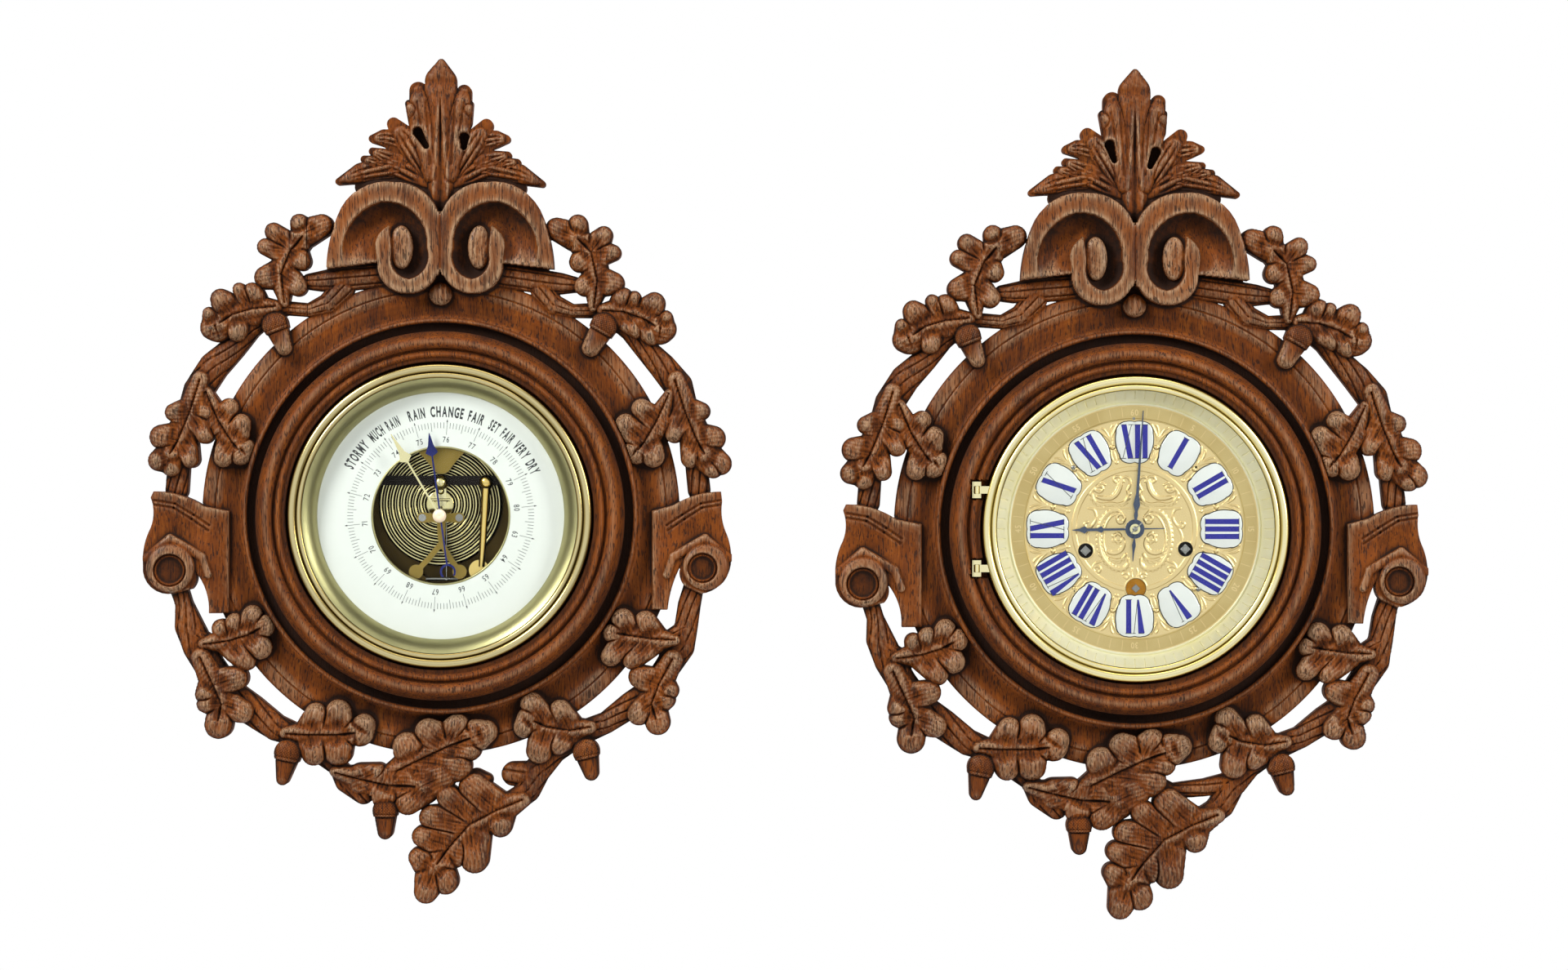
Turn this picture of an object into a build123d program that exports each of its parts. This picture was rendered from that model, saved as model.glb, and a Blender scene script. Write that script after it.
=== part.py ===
from build123d import *
import os
from collections import namedtuple
from math import acos, atan2, cos, hypot, pi, radians, sin, sqrt

# A matched pair of carved oak wall cases: an aneroid barometer and a striking clock.
# Millimetres. X is to the right, Z is up, and the wall is the plane Y = 0 with the front toward -Y.
# The origin is the hole of the clock's hanging plate.

os.makedirs("parts", exist_ok=True)

# Both cases
panel_radius = 174.0
unit_spacing = 512.4
barometer_lift = 9.6
eye_drop = 112.0
frame_radius = 135.0
clock_case_depth = 62.0
barometer_frame_depth = 34.0
cut_overrun = 2.0
running_clearance = 0.05
moving_gap = 0.4
flat_gap = 0.3
# turn of a square set on its corner
corner_turn = 45.0

# Carved oak front, heights from the back of the board
board_height = 14.0
panel_edge_height = 13.0
panel_crown_height = 14.5
panel_cove_height = 12.6
panel_groove_depth = 1.2
panel_hole_radius = 88.0
panel_groove_radius = 167.3
panel_groove_half_width = 1.0
panel_cove_radius = 156.6
panel_inner_height = 15.0
panel_inner_gap = 0.4
board_split = 98.4
branch_rise = 19.0
leaf_rise = 26.0
leaf_fall = 7.0
leaf_half_width = 26.0
acorn_rise = 27.0
crest_rise = 21.0
crest_fall = 5.0
volute_rise = 27.0
volute_floor = 15.0
ear_rise = 22.0
ear_disc_rise = 27.0
ear_dish_depth = 3.0

# Turned ring moulding, radii and heights from the ledge that it sits on
ring_bore_radius = 113.9
ring_lip_height = 16.5
bead_inner_radius = 116.8
bead_height = 18.5
bead_outer_radius = 122.6
torus_inner_radius = 124.0
torus_foot_height = 16.0
torus_peak_radius = 128.6
torus_height = 22.0
torus_outer_radius = 133.4
torus_skirt_height = 11.0
groove_inner_radius = 136.6
groove_outer_radius = 142.6
groove_height = 3.0
ring_outer_radius = 146.6
ring_outer_height = 8.0

# Bezel, glass and the ring below them, heights from the same ledge
bezel_radius = 113.0
bezel_bore_radius = 101.8
bezel_base_height = 12.4
bezel_shoulder_height = 15.5
bezel_height = 19.0
bezel_lip_height = 16.0
bezel_lip = 1.3
glass_radius = 104.0
glass_thickness = 2.2
glass_step_radius = 104.3
rim_flange_radius = 112.4
rim_flange_thickness = 1.8
rim_wall = 1.5
dial_radius = 112.0
dial_thickness = 1.2
dial_white_radius = 91.5
reflector_inner_radius = 93.0

# Carved outlines, as shares of the panel radius: x, z and radius of each round, from the dial centre.
# How full each kind of carving is, as shares of its rounds, and the panel's edge behind the leaves
midrib_swell_share = 1.2
lobe_swell_share = 1.08
lobe_root_share = 1.17
branch_swell_share = 1.08
crest_swell_share = 1.2
panel_edge_share = 1.017
# A leaf has its midrib from stalk to tip, then each lobe with the midrib point that it grows from.
leaf_shares = (
    # upper left, standing on the loop
    (((-.665, .905, .020), (-.680, 1.03, .050), (-.640, 1.13, .052), (-.575, 1.205, .045)),
     ((1, -.745, 1.015, .045), (2, -.745, 1.145, .034), (2, -.710, 1.210, .036), (3, -.600, 1.245, .038),
      (3, -.505, 1.235, .046), (2, -.592, 1.085, .038), (1, -.610, .978, .040))),
    # outer left
    (((-.700, .890, .030), (-.800, .880, .055), (-.885, .855, .060), (-.950, .810, .050)),
     ((1, -.800, .945, .045), (1, -.857, .965, .026), (2, -.935, .922, .042), (3, -.985, .862, .026),
      (3, -.968, .803, .052), (2, -.865, .785, .042))),
    # left ear leaf
    (((-1.02, .580, .040), (-1.065, .440, .050), (-1.115, .320, .058), (-1.155, .250, .050)),
     ((1, -1.135, .440, .036), (2, -1.185, .335, .050), (3, -1.200, .235, .042), (3, -1.145, .210, .040),
      (2, -1.065, .242, .036), (1, -1.005, .345, .036), (1, -1.00, .440, .038))),
    # left inner leaf, on the panel
    (((-.995, .530, .022), (-.945, .410, .042), (-.885, .315, .050), (-.850, .275, .042)),
     ((1, -.900, .460, .038), (2, -.852, .390, .042), (3, -.832, .288, .040), (2, -.925, .247, .038))),
    # lower left inner leaf, on the panel
    (((-1.01, -.545, .024), (-.900, -.530, .050), (-.820, -.505, .050), (-.755, -.470, .042)),
     ((1, -.935, -.478, .036), (1, -.875, -.455, .038), (2, -.800, -.425, .042), (2, -.768, -.560, .048),
      (1, -.835, -.615, .044))),
    # lower left hanging leaf
    (((-1.02, -.600, .045), (-.965, -.720, .050), (-.930, -.800, .050), (-.945, -.890, .050)),
     ((1, -.870, -.690, .048), (1, -.998, -.760, .044), (2, -1.00, -.800, .036), (2, -.845, -.832, .047))),
    # lower left leaf under the panel
    (((-.660, -.925, .028), (-.560, -.930, .050), (-.440, -.930, .055), (-.345, -.920, .045)),
     ((1, -.530, -.845, .046), (2, -.435, -.838, .052), (3, -.325, -.892, .046), (1, -.540, -1.01, .050),
      (2, -.435, -1.005, .056))),
    # upper right, standing on the loop
    (((.650, .885, .020), (.665, 1.00, .050), (.640, 1.12, .052), (.570, 1.19, .045)),
     ((1, .735, .990, .045), (2, .735, 1.12, .032), (2, .695, 1.195, .036), (3, .585, 1.240, .040),
      (3, .495, 1.220, .046), (2, .590, 1.080, .040), (1, .612, .978, .040))),
    # outer right
    (((.690, .875, .030), (.780, .870, .055), (.865, .840, .058), (.930, .800, .050)),
     ((1, .775, .925, .045), (1, .825, .928, .028), (2, .910, .905, .044), (3, .958, .843, .030),
      (3, .948, .797, .052), (2, .900, .768, .040), (1, .840, .795, .040))),
    # right ear leaf
    (((1.00, .580, .040), (1.045, .440, .050), (1.095, .320, .056), (1.135, .250, .050)),
     ((1, 1.110, .445, .036), (2, 1.160, .330, .050), (3, 1.190, .222, .046), (3, 1.160, .202, .040),
      (2, 1.065, .245, .040), (1, .995, .350, .038))),
    # right inner leaf, on the panel
    (((.975, .520, .022), (.920, .400, .045), (.870, .315, .050), (.835, .270, .036)),
     ((1, .855, .456, .040), (2, .790, .387, .045), (3, .820, .280, .040), (2, .905, .255, .046))),
    # lower right inner leaf, on the panel
    (((1.00, -.530, .024), (.900, -.525, .050), (.810, -.512, .050), (.735, -.500, .036)),
     ((1, .872, -.455, .047), (2, .775, -.442, .045), (2, .725, -.598, .040), (1, .820, -.608, .045))),
    # lower right hanging leaf
    (((.990, -.610, .045), (.930, -.720, .050), (.900, -.800, .050), (.925, -.880, .045)),
     ((1, .850, -.685, .047), (1, .975, -.745, .038), (2, .965, -.785, .034), (2, .845, -.842, .047))),
    # lower right leaf under the panel
    (((.640, -.900, .028), (.550, -.915, .050), (.450, -.900, .052), (.385, -.870, .045)),
     ((1, .510, -.832, .046), (2, .388, -.800, .046), (3, .358, -.900, .044), (2, .420, -1.00, .052),
      (1, .500, -.970, .045))),
    # large leaf across the bottom of the panel
    (((-.240, -1.11, .035), (-.110, -1.045, .060), (.030, -.980, .065), (.150, -.935, .050)),
     ((1, -.140, -.985, .060), (2, -.050, -.920, .055), (2, .070, -.895, .050), (3, .192, -.920, .047),
      (2, .125, -.995, .046), (1, .065, -1.065, .065))),
    # leaf to the left of the bottom
    (((-.450, -1.09, .024), (-.340, -1.12, .048), (-.220, -1.145, .058), (-.080, -1.150, .060)),
     ((1, -.340, -1.085, .030), (1, -.265, -1.090, .036), (2, -.240, -1.195, .050), (3, -.140, -1.215, .055),
      (3, .010, -1.110, .055))),
    # tail leaf
    (((.350, -1.21, .035), (.240, -1.255, .060), (.125, -1.315, .070), (.040, -1.410, .068),
      (-.025, -1.50, .060)),
     ((1, .140, -1.160, .060), (2, .030, -1.190, .046), (2, -.040, -1.285, .048), (3, -.075, -1.365, .044),
      (4, -.092, -1.455, .042), (1, .255, -1.318, .048), (2, .145, -1.460, .058), (4, .020, -1.555, .054),
      (4, -.062, -1.600, .048))),
)
# Twisted branches, as chains of rounds
branch_shares = (
    ((-.200, 1.030, .045), (-.420, 1.010, .050), (-.510, 1.000, .040), (-.560, .998, .032)),
    ((-.420, .970, .048), (-.480, .905, .042), (-.560, .877, .027), (-.660, .885, .028), (-.740, .860, .040)),
    ((-.740, .860, .040), (-.810, .795, .038), (-.885, .717, .048), (-.970, .635, .058), (-1.035, .535, .058),
     (-1.08, .400, .050), (-1.115, .250, .044), (-1.125, .110, .045)),
    ((.200, 1.030, .045), (.420, 1.000, .048), (.510, .990, .042), (.575, .985, .030)),
    ((.430, .960, .045), (.480, .900, .042), (.560, .873, .027), (.650, .875, .030), (.730, .850, .040)),
    ((.730, .850, .040), (.805, .785, .038), (.872, .712, .045), (.945, .635, .054), (1.01, .555, .058),
     (1.05, .420, .050), (1.085, .250, .044), (1.10, .110, .045)),
    ((-1.13, -.270, .035), (-1.095, -.380, .034), (-1.075, -.470, .055), (-1.035, -.560, .060),
     (-.985, -.645, .058), (-.907, -.748, .054), (-.808, -.828, .060), (-.705, -.903, .052),
     (-.620, -.935, .045), (-.500, -1.00, .058), (-.440, -1.07, .036), (-.400, -1.13, .048),
     (-.330, -1.185, .042)),
    ((-1.05, -.500, .030), (-.985, -.540, .030), (-.930, -.520, .030)),
    ((1.085, -.270, .038), (1.058, -.380, .045), (1.045, -.470, .046), (1.02, -.560, .056),
     (.965, -.645, .052), (.897, -.738, .046), (.808, -.808, .052), (.703, -.883, .043),
     (.590, -.930, .048), (.480, -1.00, .052), (.405, -1.09, .055), (.370, -1.17, .050),
     (.300, -1.235, .040)),
    ((1.03, -.480, .030), (.965, -.525, .030), (.910, -.520, .030)),
)
# The twig loop over the tail: whole on the clock, broken off short on the barometer
whole_loop_shares = (
    ((.420, -1.07, .040), (.300, -1.095, .034), (.160, -1.110, .030), (.100, -1.090, .040)),
    ((.370, -1.17, .040), (.280, -1.215, .030), (.200, -1.195, .030), (.160, -1.150, .040)),
)
broken_loop_shares = (
    ((.400, -1.10, .050), (.310, -1.10, .048)),
    ((.370, -1.17, .040), (.280, -1.215, .030), (.200, -1.205, .026), (.160, -1.170, .040)),
    ((.150, -1.12, .040), (.195, -1.125, .026)),
)
# Acorns: centre and radius of the cup, then of the nut's tip
acorn_shares = (
    ((-.705, .815, .055), (-.665, .715, .036)),
    ((.695, .810, .057), (.640, .715, .042)),
    ((-.650, -1.01, .058), (-.672, -1.12, .030)),
    ((.620, -1.005, .057), (.642, -1.095, .036)),
    ((-.235, -1.255, .054), (-.235, -1.345, .036)),
)
# Leafage of the crest, as chains of rounds from the middle foot outward
crest_shares = (
    ((0, 1.36, .050), (0, 1.62, .060), (0, 1.85, .056), (.003, 1.93, .014)),
    ((-.030, 1.45, .040), (-.075, 1.68, .050), (-.095, 1.81, .032)),
    ((.030, 1.45, .040), (.072, 1.68, .048), (.100, 1.805, .026)),
    ((-.090, 1.68, .040), (-.135, 1.755, .014)),
    ((.090, 1.68, .036), (.122, 1.755, .014)),
    ((-.040, 1.42, .040), (-.150, 1.605, .045), (-.200, 1.668, .024)),
    ((.040, 1.42, .040), (.150, 1.595, .045), (.195, 1.662, .024)),
    ((-.150, 1.590, .045), (-.240, 1.610, .030), (-.290, 1.606, .014)),
    ((.150, 1.590, .045), (.235, 1.605, .030), (.280, 1.605, .014)),
    ((-.040, 1.40, .040), (-.200, 1.490, .050), (-.340, 1.460, .036), (-.435, 1.424, .012)),
    ((.040, 1.40, .040), (.200, 1.485, .050), (.335, 1.455, .036), (.432, 1.414, .012)),
    ((-.180, 1.500, .050), (-.290, 1.552, .014)),
    ((-.220, 1.480, .045), (-.325, 1.518, .014)),
    ((.180, 1.500, .050), (.285, 1.535, .014)),
    ((.220, 1.480, .045), (.325, 1.504, .014)),
    ((-.040, 1.37, .050), (-.330, 1.400, .030)),
    ((.040, 1.37, .050), (.330, 1.395, .030)),
)
# Outline of the left scroll's block and of its hollow: each row is a midway point and an end point
scroll_foot_share = (-.483, 1.050)
scroll_outline_shares = (
    ((-.468, 1.170), (-.435, 1.275)),
    ((-.350, 1.385), (-.200, 1.420)),
    ((-.060, 1.370), (0, 1.270)),
)
scroll_curl_shares = (
    ((-.040, .985), (-.145, .945)),
    ((-.235, .985), (-.267, 1.080)),
)
scroll_waist_share = (0, 1.080)
hollow_foot_share = (-.400, 1.066)
hollow_outline_shares = (
    ((-.350, 1.300), (-.200, 1.345)),
    ((-.085, 1.300), (-.052, 1.180)),
    ((-.070, 1.065), (-.140, 1.020)),
    ((-.195, 1.040), (-.215, 1.095)),
    ((-.155, 1.062), (-.120, 1.130)),
    ((-.135, 1.225), (-.190, 1.250)),
    ((-.262, 1.200), (-.268, 1.080)),
)
scroll_boss_share = (0, .945, .050)
# Side consoles: start point, then midway and end points; a straight side has no midway point
left_ear_start_share = (-.900, .020)
left_ear_shares = (
    (None, (-1.005, .040)),
    ((-1.100, .086), (-1.220, .104)),
    (None, (-1.232, .078)),
    ((-1.221, .000), (-1.242, -.070)),
    ((-1.262, -.140), (-1.265, -.210)),
    ((-1.235, -.300), (-1.130, -.330)),
    (None, (-1.060, -.312)),
    ((-1.040, -.275), (-1.044, -.234)),
    ((-1.000, -.310), (-.985, -.415)),
    (None, (-.900, -.415)),
)
right_ear_start_share = (.900, .020)
right_ear_shares = (
    (None, (.990, .045)),
    ((1.080, .086), (1.193, .103)),
    (None, (1.198, .060)),
    ((1.196, .000), (1.218, -.080)),
    ((1.235, -.150), (1.235, -.210)),
    ((1.200, -.285), (1.110, -.332)),
    (None, (1.040, -.300)),
    ((1.018, -.255), (1.022, -.212)),
    ((.985, -.300), (.965, -.400)),
    (None, (.900, -.400)),
)
ear_disc_shares = ((-1.148, -.222, .103), (1.130, -.218, .098))
ear_dish_shares = ((-1.150, -.232, .070), (1.115, -.222, .064))

# Barometer, heights from the wall; places are from the dial centre
drum_radius = 84.0
drum_wall = 1.2
drum_back_height = 2.5
drum_flange_radius = 95.0
dial_opening_radius = 51.0
frame_bore_radius = 96.0
base_plate_radius = 80.0
base_plate_thickness = 2.0
capsule_x = -1.8
capsule_z = 8.4
capsule_radius = 46.2
capsule_flat_radius = 15.6
capsule_ridge_depth = 1.7
capsule_ridges = 6
capsule_base_height = 8.0
capsule_height = 21.5
capsule_stud_radius = 8.0
capsule_post_radius = 3.2
beam_z = 26.2
beam_width = 6.9
beam_thickness = 2.0
beam_length = 128.0
beam_height = 30.0
beam_pillar_radius = 5.0
nut_radius = 5.7
nut_x = -0.8
nut_z = 24.6
fork_width = 8.0
fork_top_z = 21.0
fork_foot_z = 7.0
fork_thickness = 1.6
small_ball_radius = 2.7
link_z = 11.8
link_radius = 1.0
link_left_x = -8.3
link_right_x = 6.2
fan_top_z = 62.0
fan_top_half_width = 40.0
fan_waist_half_width = 16.0
fan_waist_z = 46.0
fan_neck_half_width = 6.0
fan_neck_z = 34.0
fan_height = 37.5
fan_thickness = 1.5
post_radius = 3.0
lever_ball_x = 33.1
lever_ball_z = 24.8
lever_foot_x = 29.6
lever_foot_z = -38.0
lever_top_radius = 3.5
lever_end_radius = 2.2
lever_disc_x = 27.7
lever_disc_z = -40.5
lever_disc_radius = 7.6
lever_disc_thickness = 2.0
bar_left_x = -14.1
bar_right_x = 13.3
bar_drop = 1.5
bar_end_radius = 3.8
bar_waist_radius = 2.6
bridge_height = 40.0
bridge_thickness = 2.0
bridge_neck_z = -11.5
bridge_neck_radius = 3.0
bridge_fork_z = -20.5
bridge_bend_z = -32.0
bridge_left_foot_x = -18.8
bridge_right_foot_x = 13.5
bridge_foot_z = -41.6
bridge_foot_radius = 5.3
bridge_arm_radius = 2.0
screw_head_radius = 2.8
screw_head_thickness = 1.4
screw_slot_width = 0.7
rocker_z = -47.2
rocker_half_length = 17.0
rocker_radius = 1.2
rocker_height = 34.0
rocker_post_radius = 2.6
rocker_arm_length = 6.0
rocker_arm_radius = 0.8
chain_radius = 0.35
chain_top_x = 3.6
chain_slack = 0.8
chain_top_z = -5.0
arbor_hub_radius = 2.2
pointer_arbor_radius = 1.0
pointer_collet_radius = 2.4
hand_thickness = 0.6
pressure_hand_height = 54.0
set_hand_height = 59.6
set_hub_radius = 3.0
set_shaft_radius = 1.5
knob_radius = 5.0
knob_thickness = 3.2
# Hands, as shares of the reach from the arbor to the tip: place along the hand, and half width
pressure_hand_reach = 61.8
pressure_hand_heading = 97.7
pressure_head_shares = ((0, .010), (.72, .010), (.76, .075), (.85, .035), (1.0, .004))
pressure_tail_reach = 37.5
pressure_crescent_radius = 5.9
pressure_crescent_width = 1.5
set_hand_reach = 70.3
set_hand_heading = 120.9
set_head_shares = ((0, .010), (.66, .010), (.70, .070), (.78, .030), (1.0, .004))
hand_shaft_half_width = 0.6
crescent_bite = 1.6

# Clock movement, heights from the wall; places are from the dial centre
plate_width = 118.0
plate_height = 116.0
plate_thickness = 2.5
back_plate_height = 19.0
front_plate_height = 57.5
plate_corner_radius = 6.0
pillar_radius = 3.6
pillar_inset = 7.0
pivot_radius = 1.5
arbor_radius = 2.0
left_winding_x = -36.0
left_winding_z = -16.0
right_winding_x = 37.5
right_winding_z = -14.8
winding_arbor_radius = 4.2
winding_square = 5.4
winding_hole_radius = 5.5
barrel_radius = 27.0
barrel_length = 20.0
barrel_groove_depth = 0.6
barrel_cap_thickness = 2.0
great_wheel_teeth = 60
great_wheel_thickness = 2.5
time_great_height = 26.5
strike_great_height = 45.5
centre_pinion_radius = 6.0
centre_pinion_teeth = 10
strike_pinion_radius = 7.7
strike_pinion_teeth = 12
centre_wheel_radius = 23.8
centre_wheel_teeth = 80
centre_wheel_height = 53.5
third_pinion_radius = 2.5
third_pinion_teeth = 8
third_wheel_radius = 19.6
third_wheel_teeth = 88
third_wheel_height = 23.0
third_x = 16.5
third_z = 20.6
escape_pinion_radius = 1.4
escape_pinion_teeth = 6
escape_wheel_radius = 13.0
escape_wheel_teeth = 32
escape_wheel_height = 40.0
escape_z = 33.8
anchor_z = 51.5
anchor_shoulder_x = 12.6
anchor_shoulder_z = 48.6
anchor_tip_x = 11.6
anchor_tip_z = 43.4
anchor_band = 3.0
wheel_thickness = 1.6
tooth_depth = 1.3
fine_tooth_depth = 0.8
wheel_rim = 3.0
wheel_spokes = 4
wheel_spoke_width = 2.4
mesh_gap = 0.1
strike_x = -18.0
strike_z = 22.0
pin_wheel_radius = 18.0
pin_wheel_height = 50.0
pin_wheel_pins = 8
pin_radius = 0.8
pin_length = 2.0
cannon_pinion_radius = 3.9
cannon_pinion_teeth = 12
minute_wheel_radius = 12.0
minute_wheel_teeth = 36
minute_pinion_radius = 3.9
minute_pinion_teeth = 10
hour_wheel_radius = 12.0
hour_wheel_teeth = 40
motion_spread = 11.32
motion_height = 61.0
hour_wheel_step = 3.0
hour_pipe_radius = 3.4
cannon_radius = 2.25
crutch_height = 16.2
crutch_length = 31.0
crutch_width = 2.4
crutch_thickness = 1.4
pendulum_height = 12.0
pendulum_rod_radius = 1.0
pendulum_drop = 146.5
bob_radius = 18.0
bob_thickness = 5.5
suspension_width = 4.0
suspension_thickness = 0.6
suspension_rise = 3.2
cock_width = 9.0
cock_rise = 5.0
rating_nut_radius = 3.2
rating_nut_height = 3.0
hammer_x = -14.0
hammer_z = -52.0
hammer_head_x = -19.6
hammer_head_z = -75.0
hammer_tail_x = -16.0
hammer_tail_z = 4.7
hammer_tail_height = 48.3
hammer_head_radius = 4.0
hammer_head_length = 9.0
hammer_height = 33.0
bell_x = -45.0
bell_z = -82.0
bell_radius = 22.0
bell_wall = 1.8
bell_depth = 17.0
bell_height = 28.0
bell_stud_radius = 2.5
bell_stand_width = 8.0
bell_stand_thickness = 3.0
dial_foot_radius = 2.5
regulator_x = 1.0
regulator_z = -43.8
regulator_hole_radius = 7.6
regulator_square = 4.6
regulator_disc_radius = 7.2
regulator_disc_thickness = 1.2
regulator_arbor_radius = 3.0
centre_hole_radius = 6.0

# Clock dial and hands
border_radius = 44.5
border_width = 3.4
border_rise = 0.5
cartouche_count = 12
cartouche_inner_radius = 48.8
cartouche_outer_radius = 79.2
cartouche_width = 27.5
cartouche_foot_width = 21.0
cartouche_corner_radius = 6.0
cartouche_thickness = 1.8
dial_screw_radius = 1.6
dial_screw_ring_radius = 64.3
hour_hand_height = 81.0
hour_hand_reach = 46.0
hour_tail_reach = 21.9
minute_hand_height = 83.6
minute_hand_reach = 87.3
minute_tail_reach = 23.8
hand_hub_radius = 7.1
hand_ring_radius = 4.4
hand_collet_thickness = 0.8
minute_hand_heading = 86.0
hour_hand_heading = 181.0
# Minute hand and hour hand, as shares of their reach: place along the hand, and half width
minute_blade_shares = ((0, .010), (.080, .010), (.115, .017), (.150, .012), (.205, .029), (.300, .012),
                       (.600, .009),
                       (1.0, .004))
minute_tail_shares = ((0, .020), (.300, .020), (.500, .060), (.700, .030), (1.0, .012))
hour_blade_shares = ((0, .016), (.500, .018), (.530, .055), (.600, .022), (.760, .022), (.800, .060),
                     (.880, .022), (1.0, .005))
hour_tail_shares = ((0, .026), (1.0, .014))

# Clock case
case_wall = 12.0
case_back_thickness = 8.0
door_radius = 90.5
door_gap = 1.5
door_thickness = 5.0
door_back_height = 0.4
door_axis_height = 1.6
door_pin_radius = 1.0
door_pin_inset = 2.5
door_pin_reach = 5.0
hinge_spread = 28.8
hinge_offset = 3.6
hinge_height = 18.0
hinge_pin_radius = 1.1
hinge_barrel_radius = 2.2
hinge_barrel_length = 6.0
hinge_block_length = 3.0
hinge_plate_width = 7.0
hinge_notch_margin = 1.0
hinge_leaf_reach = 12.0
eye_radius = 4.5
eye_plate_width = 26.0
eye_plate_height = 28.0
eye_plate_thickness = 2.0
eye_pocket_depth = 4.0
eye_pocket_radius = 8.0


Unit = namedtuple("Unit", "x z back")
clock = Unit(0.0, -eye_drop, clock_case_depth)
barometer = Unit(-unit_spacing, -eye_drop + barometer_lift, barometer_frame_depth)
bench = Unit(0.0, 0.0, 0.0)


def dial_plane(unit, height, x=0.0, z=0.0):
    """A plane facing the front, at a height off the wall and a place from the dial centre."""
    return Plane(origin=(unit.x + x, -height, unit.z + z), x_dir=(1, 0, 0), z_dir=(0, -1, 0))


def turning_plane(unit, height=0.0, x=0.0, z=0.0):
    """A plane through an arbor: its X is the radius and its Y the height."""
    return Plane(origin=(unit.x + x, -height, unit.z + z), x_dir=(1, 0, 0), z_dir=(0, 0, -1))


def turning_axis(unit, x=0.0, z=0.0):
    return Axis((unit.x + x, 0, unit.z + z), (0, -1, 0))


def scaled(share):
    return tuple(panel_radius * value for value in share)


def full_round(share, swell):
    x, z, radius = scaled(share)
    return (x, z, swell * radius)


def limb(start, end):
    """A tapered band round two circles, each given as x, z and radius."""
    (start_x, start_z, start_radius), (end_x, end_z, end_radius) = start, end
    length = hypot(end_x - start_x, end_z - start_z)
    heading = atan2(end_z - start_z, end_x - start_x)
    if length <= abs(start_radius - end_radius):
        # the larger circle holds the smaller one
        larger_x, larger_z, larger_radius = max(start, end, key=lambda circle: circle[2])
        with BuildSketch(Plane.XY) as disc:
            with Locations((larger_x, larger_z)):
                Circle(larger_radius)
        return disc.sketch
    lean = acos((start_radius - end_radius) / length)

    def touch(circle, angle):
        x, z, radius = circle
        return (x + radius * cos(angle), z + radius * sin(angle))

    with BuildSketch(Plane.XY) as band:
        with BuildLine():
            Line(touch(start, heading + lean), touch(end, heading + lean))
            ThreePointArc(touch(end, heading + lean), touch(end, heading), touch(end, heading - lean))
            Line(touch(end, heading - lean), touch(start, heading - lean))
            ThreePointArc(touch(start, heading - lean), touch(start, heading + pi),
                          touch(start, heading + lean))
        make_face()
    return band.sketch


def chain_limbs(chain, swell):
    rounds = [full_round(share, swell) for share in chain]
    return [limb(start, end) for start, end in zip(rounds, rounds[1:])]


def leaf_limbs(midrib, lobes):
    rounds = [scaled(midrib[0])] + [full_round(share, midrib_swell_share) for share in midrib[1:]]
    limbs = [limb(start, end) for start, end in zip(rounds, rounds[1:])]
    for grows_from, *lobe in lobes:
        x, z, radius = rounds[grows_from]
        limbs.append(limb((x, z, lobe_root_share * radius), full_round(lobe, lobe_swell_share)))
    return limbs


def carved(limbs, rise):
    """Bands of oak, flat on the front, from the back of the board."""
    with BuildPart() as piece:
        with BuildSketch(dial_plane(bench, 0)):
            for band in limbs:
                add(band)
        extrude(amount=rise)
    return piece.part


def ridged(limbs, rise, fall, foot, tip):
    """The same bands under a roof whose ridge runs from the foot to the tip."""
    foot_x, foot_z, _ = scaled(foot)
    tip_x, tip_z, _ = scaled(tip)
    reach = hypot(tip_x - foot_x, tip_z - foot_z)
    along = ((tip_x - foot_x) / reach, 0, (tip_z - foot_z) / reach)
    across = (-along[2], 0, along[0])
    margin = 2 * leaf_half_width
    start = (foot_x - along[0] * margin, 0, foot_z - along[2] * margin)
    edge_height = rise - fall
    outer_height = rise - 2 * fall
    with BuildPart() as piece:
        with BuildSketch(dial_plane(bench, 0)):
            for band in limbs:
                add(band)
        extrude(amount=rise)
        with BuildSketch(Plane(origin=start, x_dir=across, z_dir=along)):
            with BuildLine():
                side = 1 if Plane(origin=start, x_dir=across, z_dir=along).y_dir.Y < 0 else -1
                Polyline(
                    (-2 * leaf_half_width, 0),
                    (-2 * leaf_half_width, side * outer_height),
                    (0, side * rise),
                    (2 * leaf_half_width, side * outer_height),
                    (2 * leaf_half_width, 0),
                    close=True,
                )
            make_face()
        extrude(amount=reach + 2 * margin, mode=Mode.INTERSECT)
    return piece.part


def arc_outline(start, rows):
    """Lines and arcs through shares of the panel radius."""
    here = scaled(start)
    for midway, end in rows:
        there = scaled(end)
        if midway is None:
            Line(here, there)
        else:
            ThreePointArc(here, scaled(midway), there)
        here = there
    return here


def scroll_block(side):
    """One scroll of the crest: a raised band round a hollow, with the coil's boss standing in it."""
    with BuildPart() as block:
        with BuildSketch(dial_plane(bench, 0)):
            with BuildLine():
                top = arc_outline(scroll_foot_share, scroll_outline_shares)
                Line(top, scaled(scroll_waist_share))
                curl = arc_outline(scroll_waist_share, scroll_curl_shares)
                Line(curl, scaled(scroll_foot_share))
            make_face()
        extrude(amount=volute_rise)
        with BuildSketch(dial_plane(bench, volute_floor)):
            with BuildLine():
                end = arc_outline(hollow_foot_share, hollow_outline_shares)
                Line(end, scaled(hollow_foot_share))
            make_face()
        extrude(amount=volute_rise, mode=Mode.SUBTRACT)
    return block.part if side < 0 else mirror(block.part, about=Plane.YZ)


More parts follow.
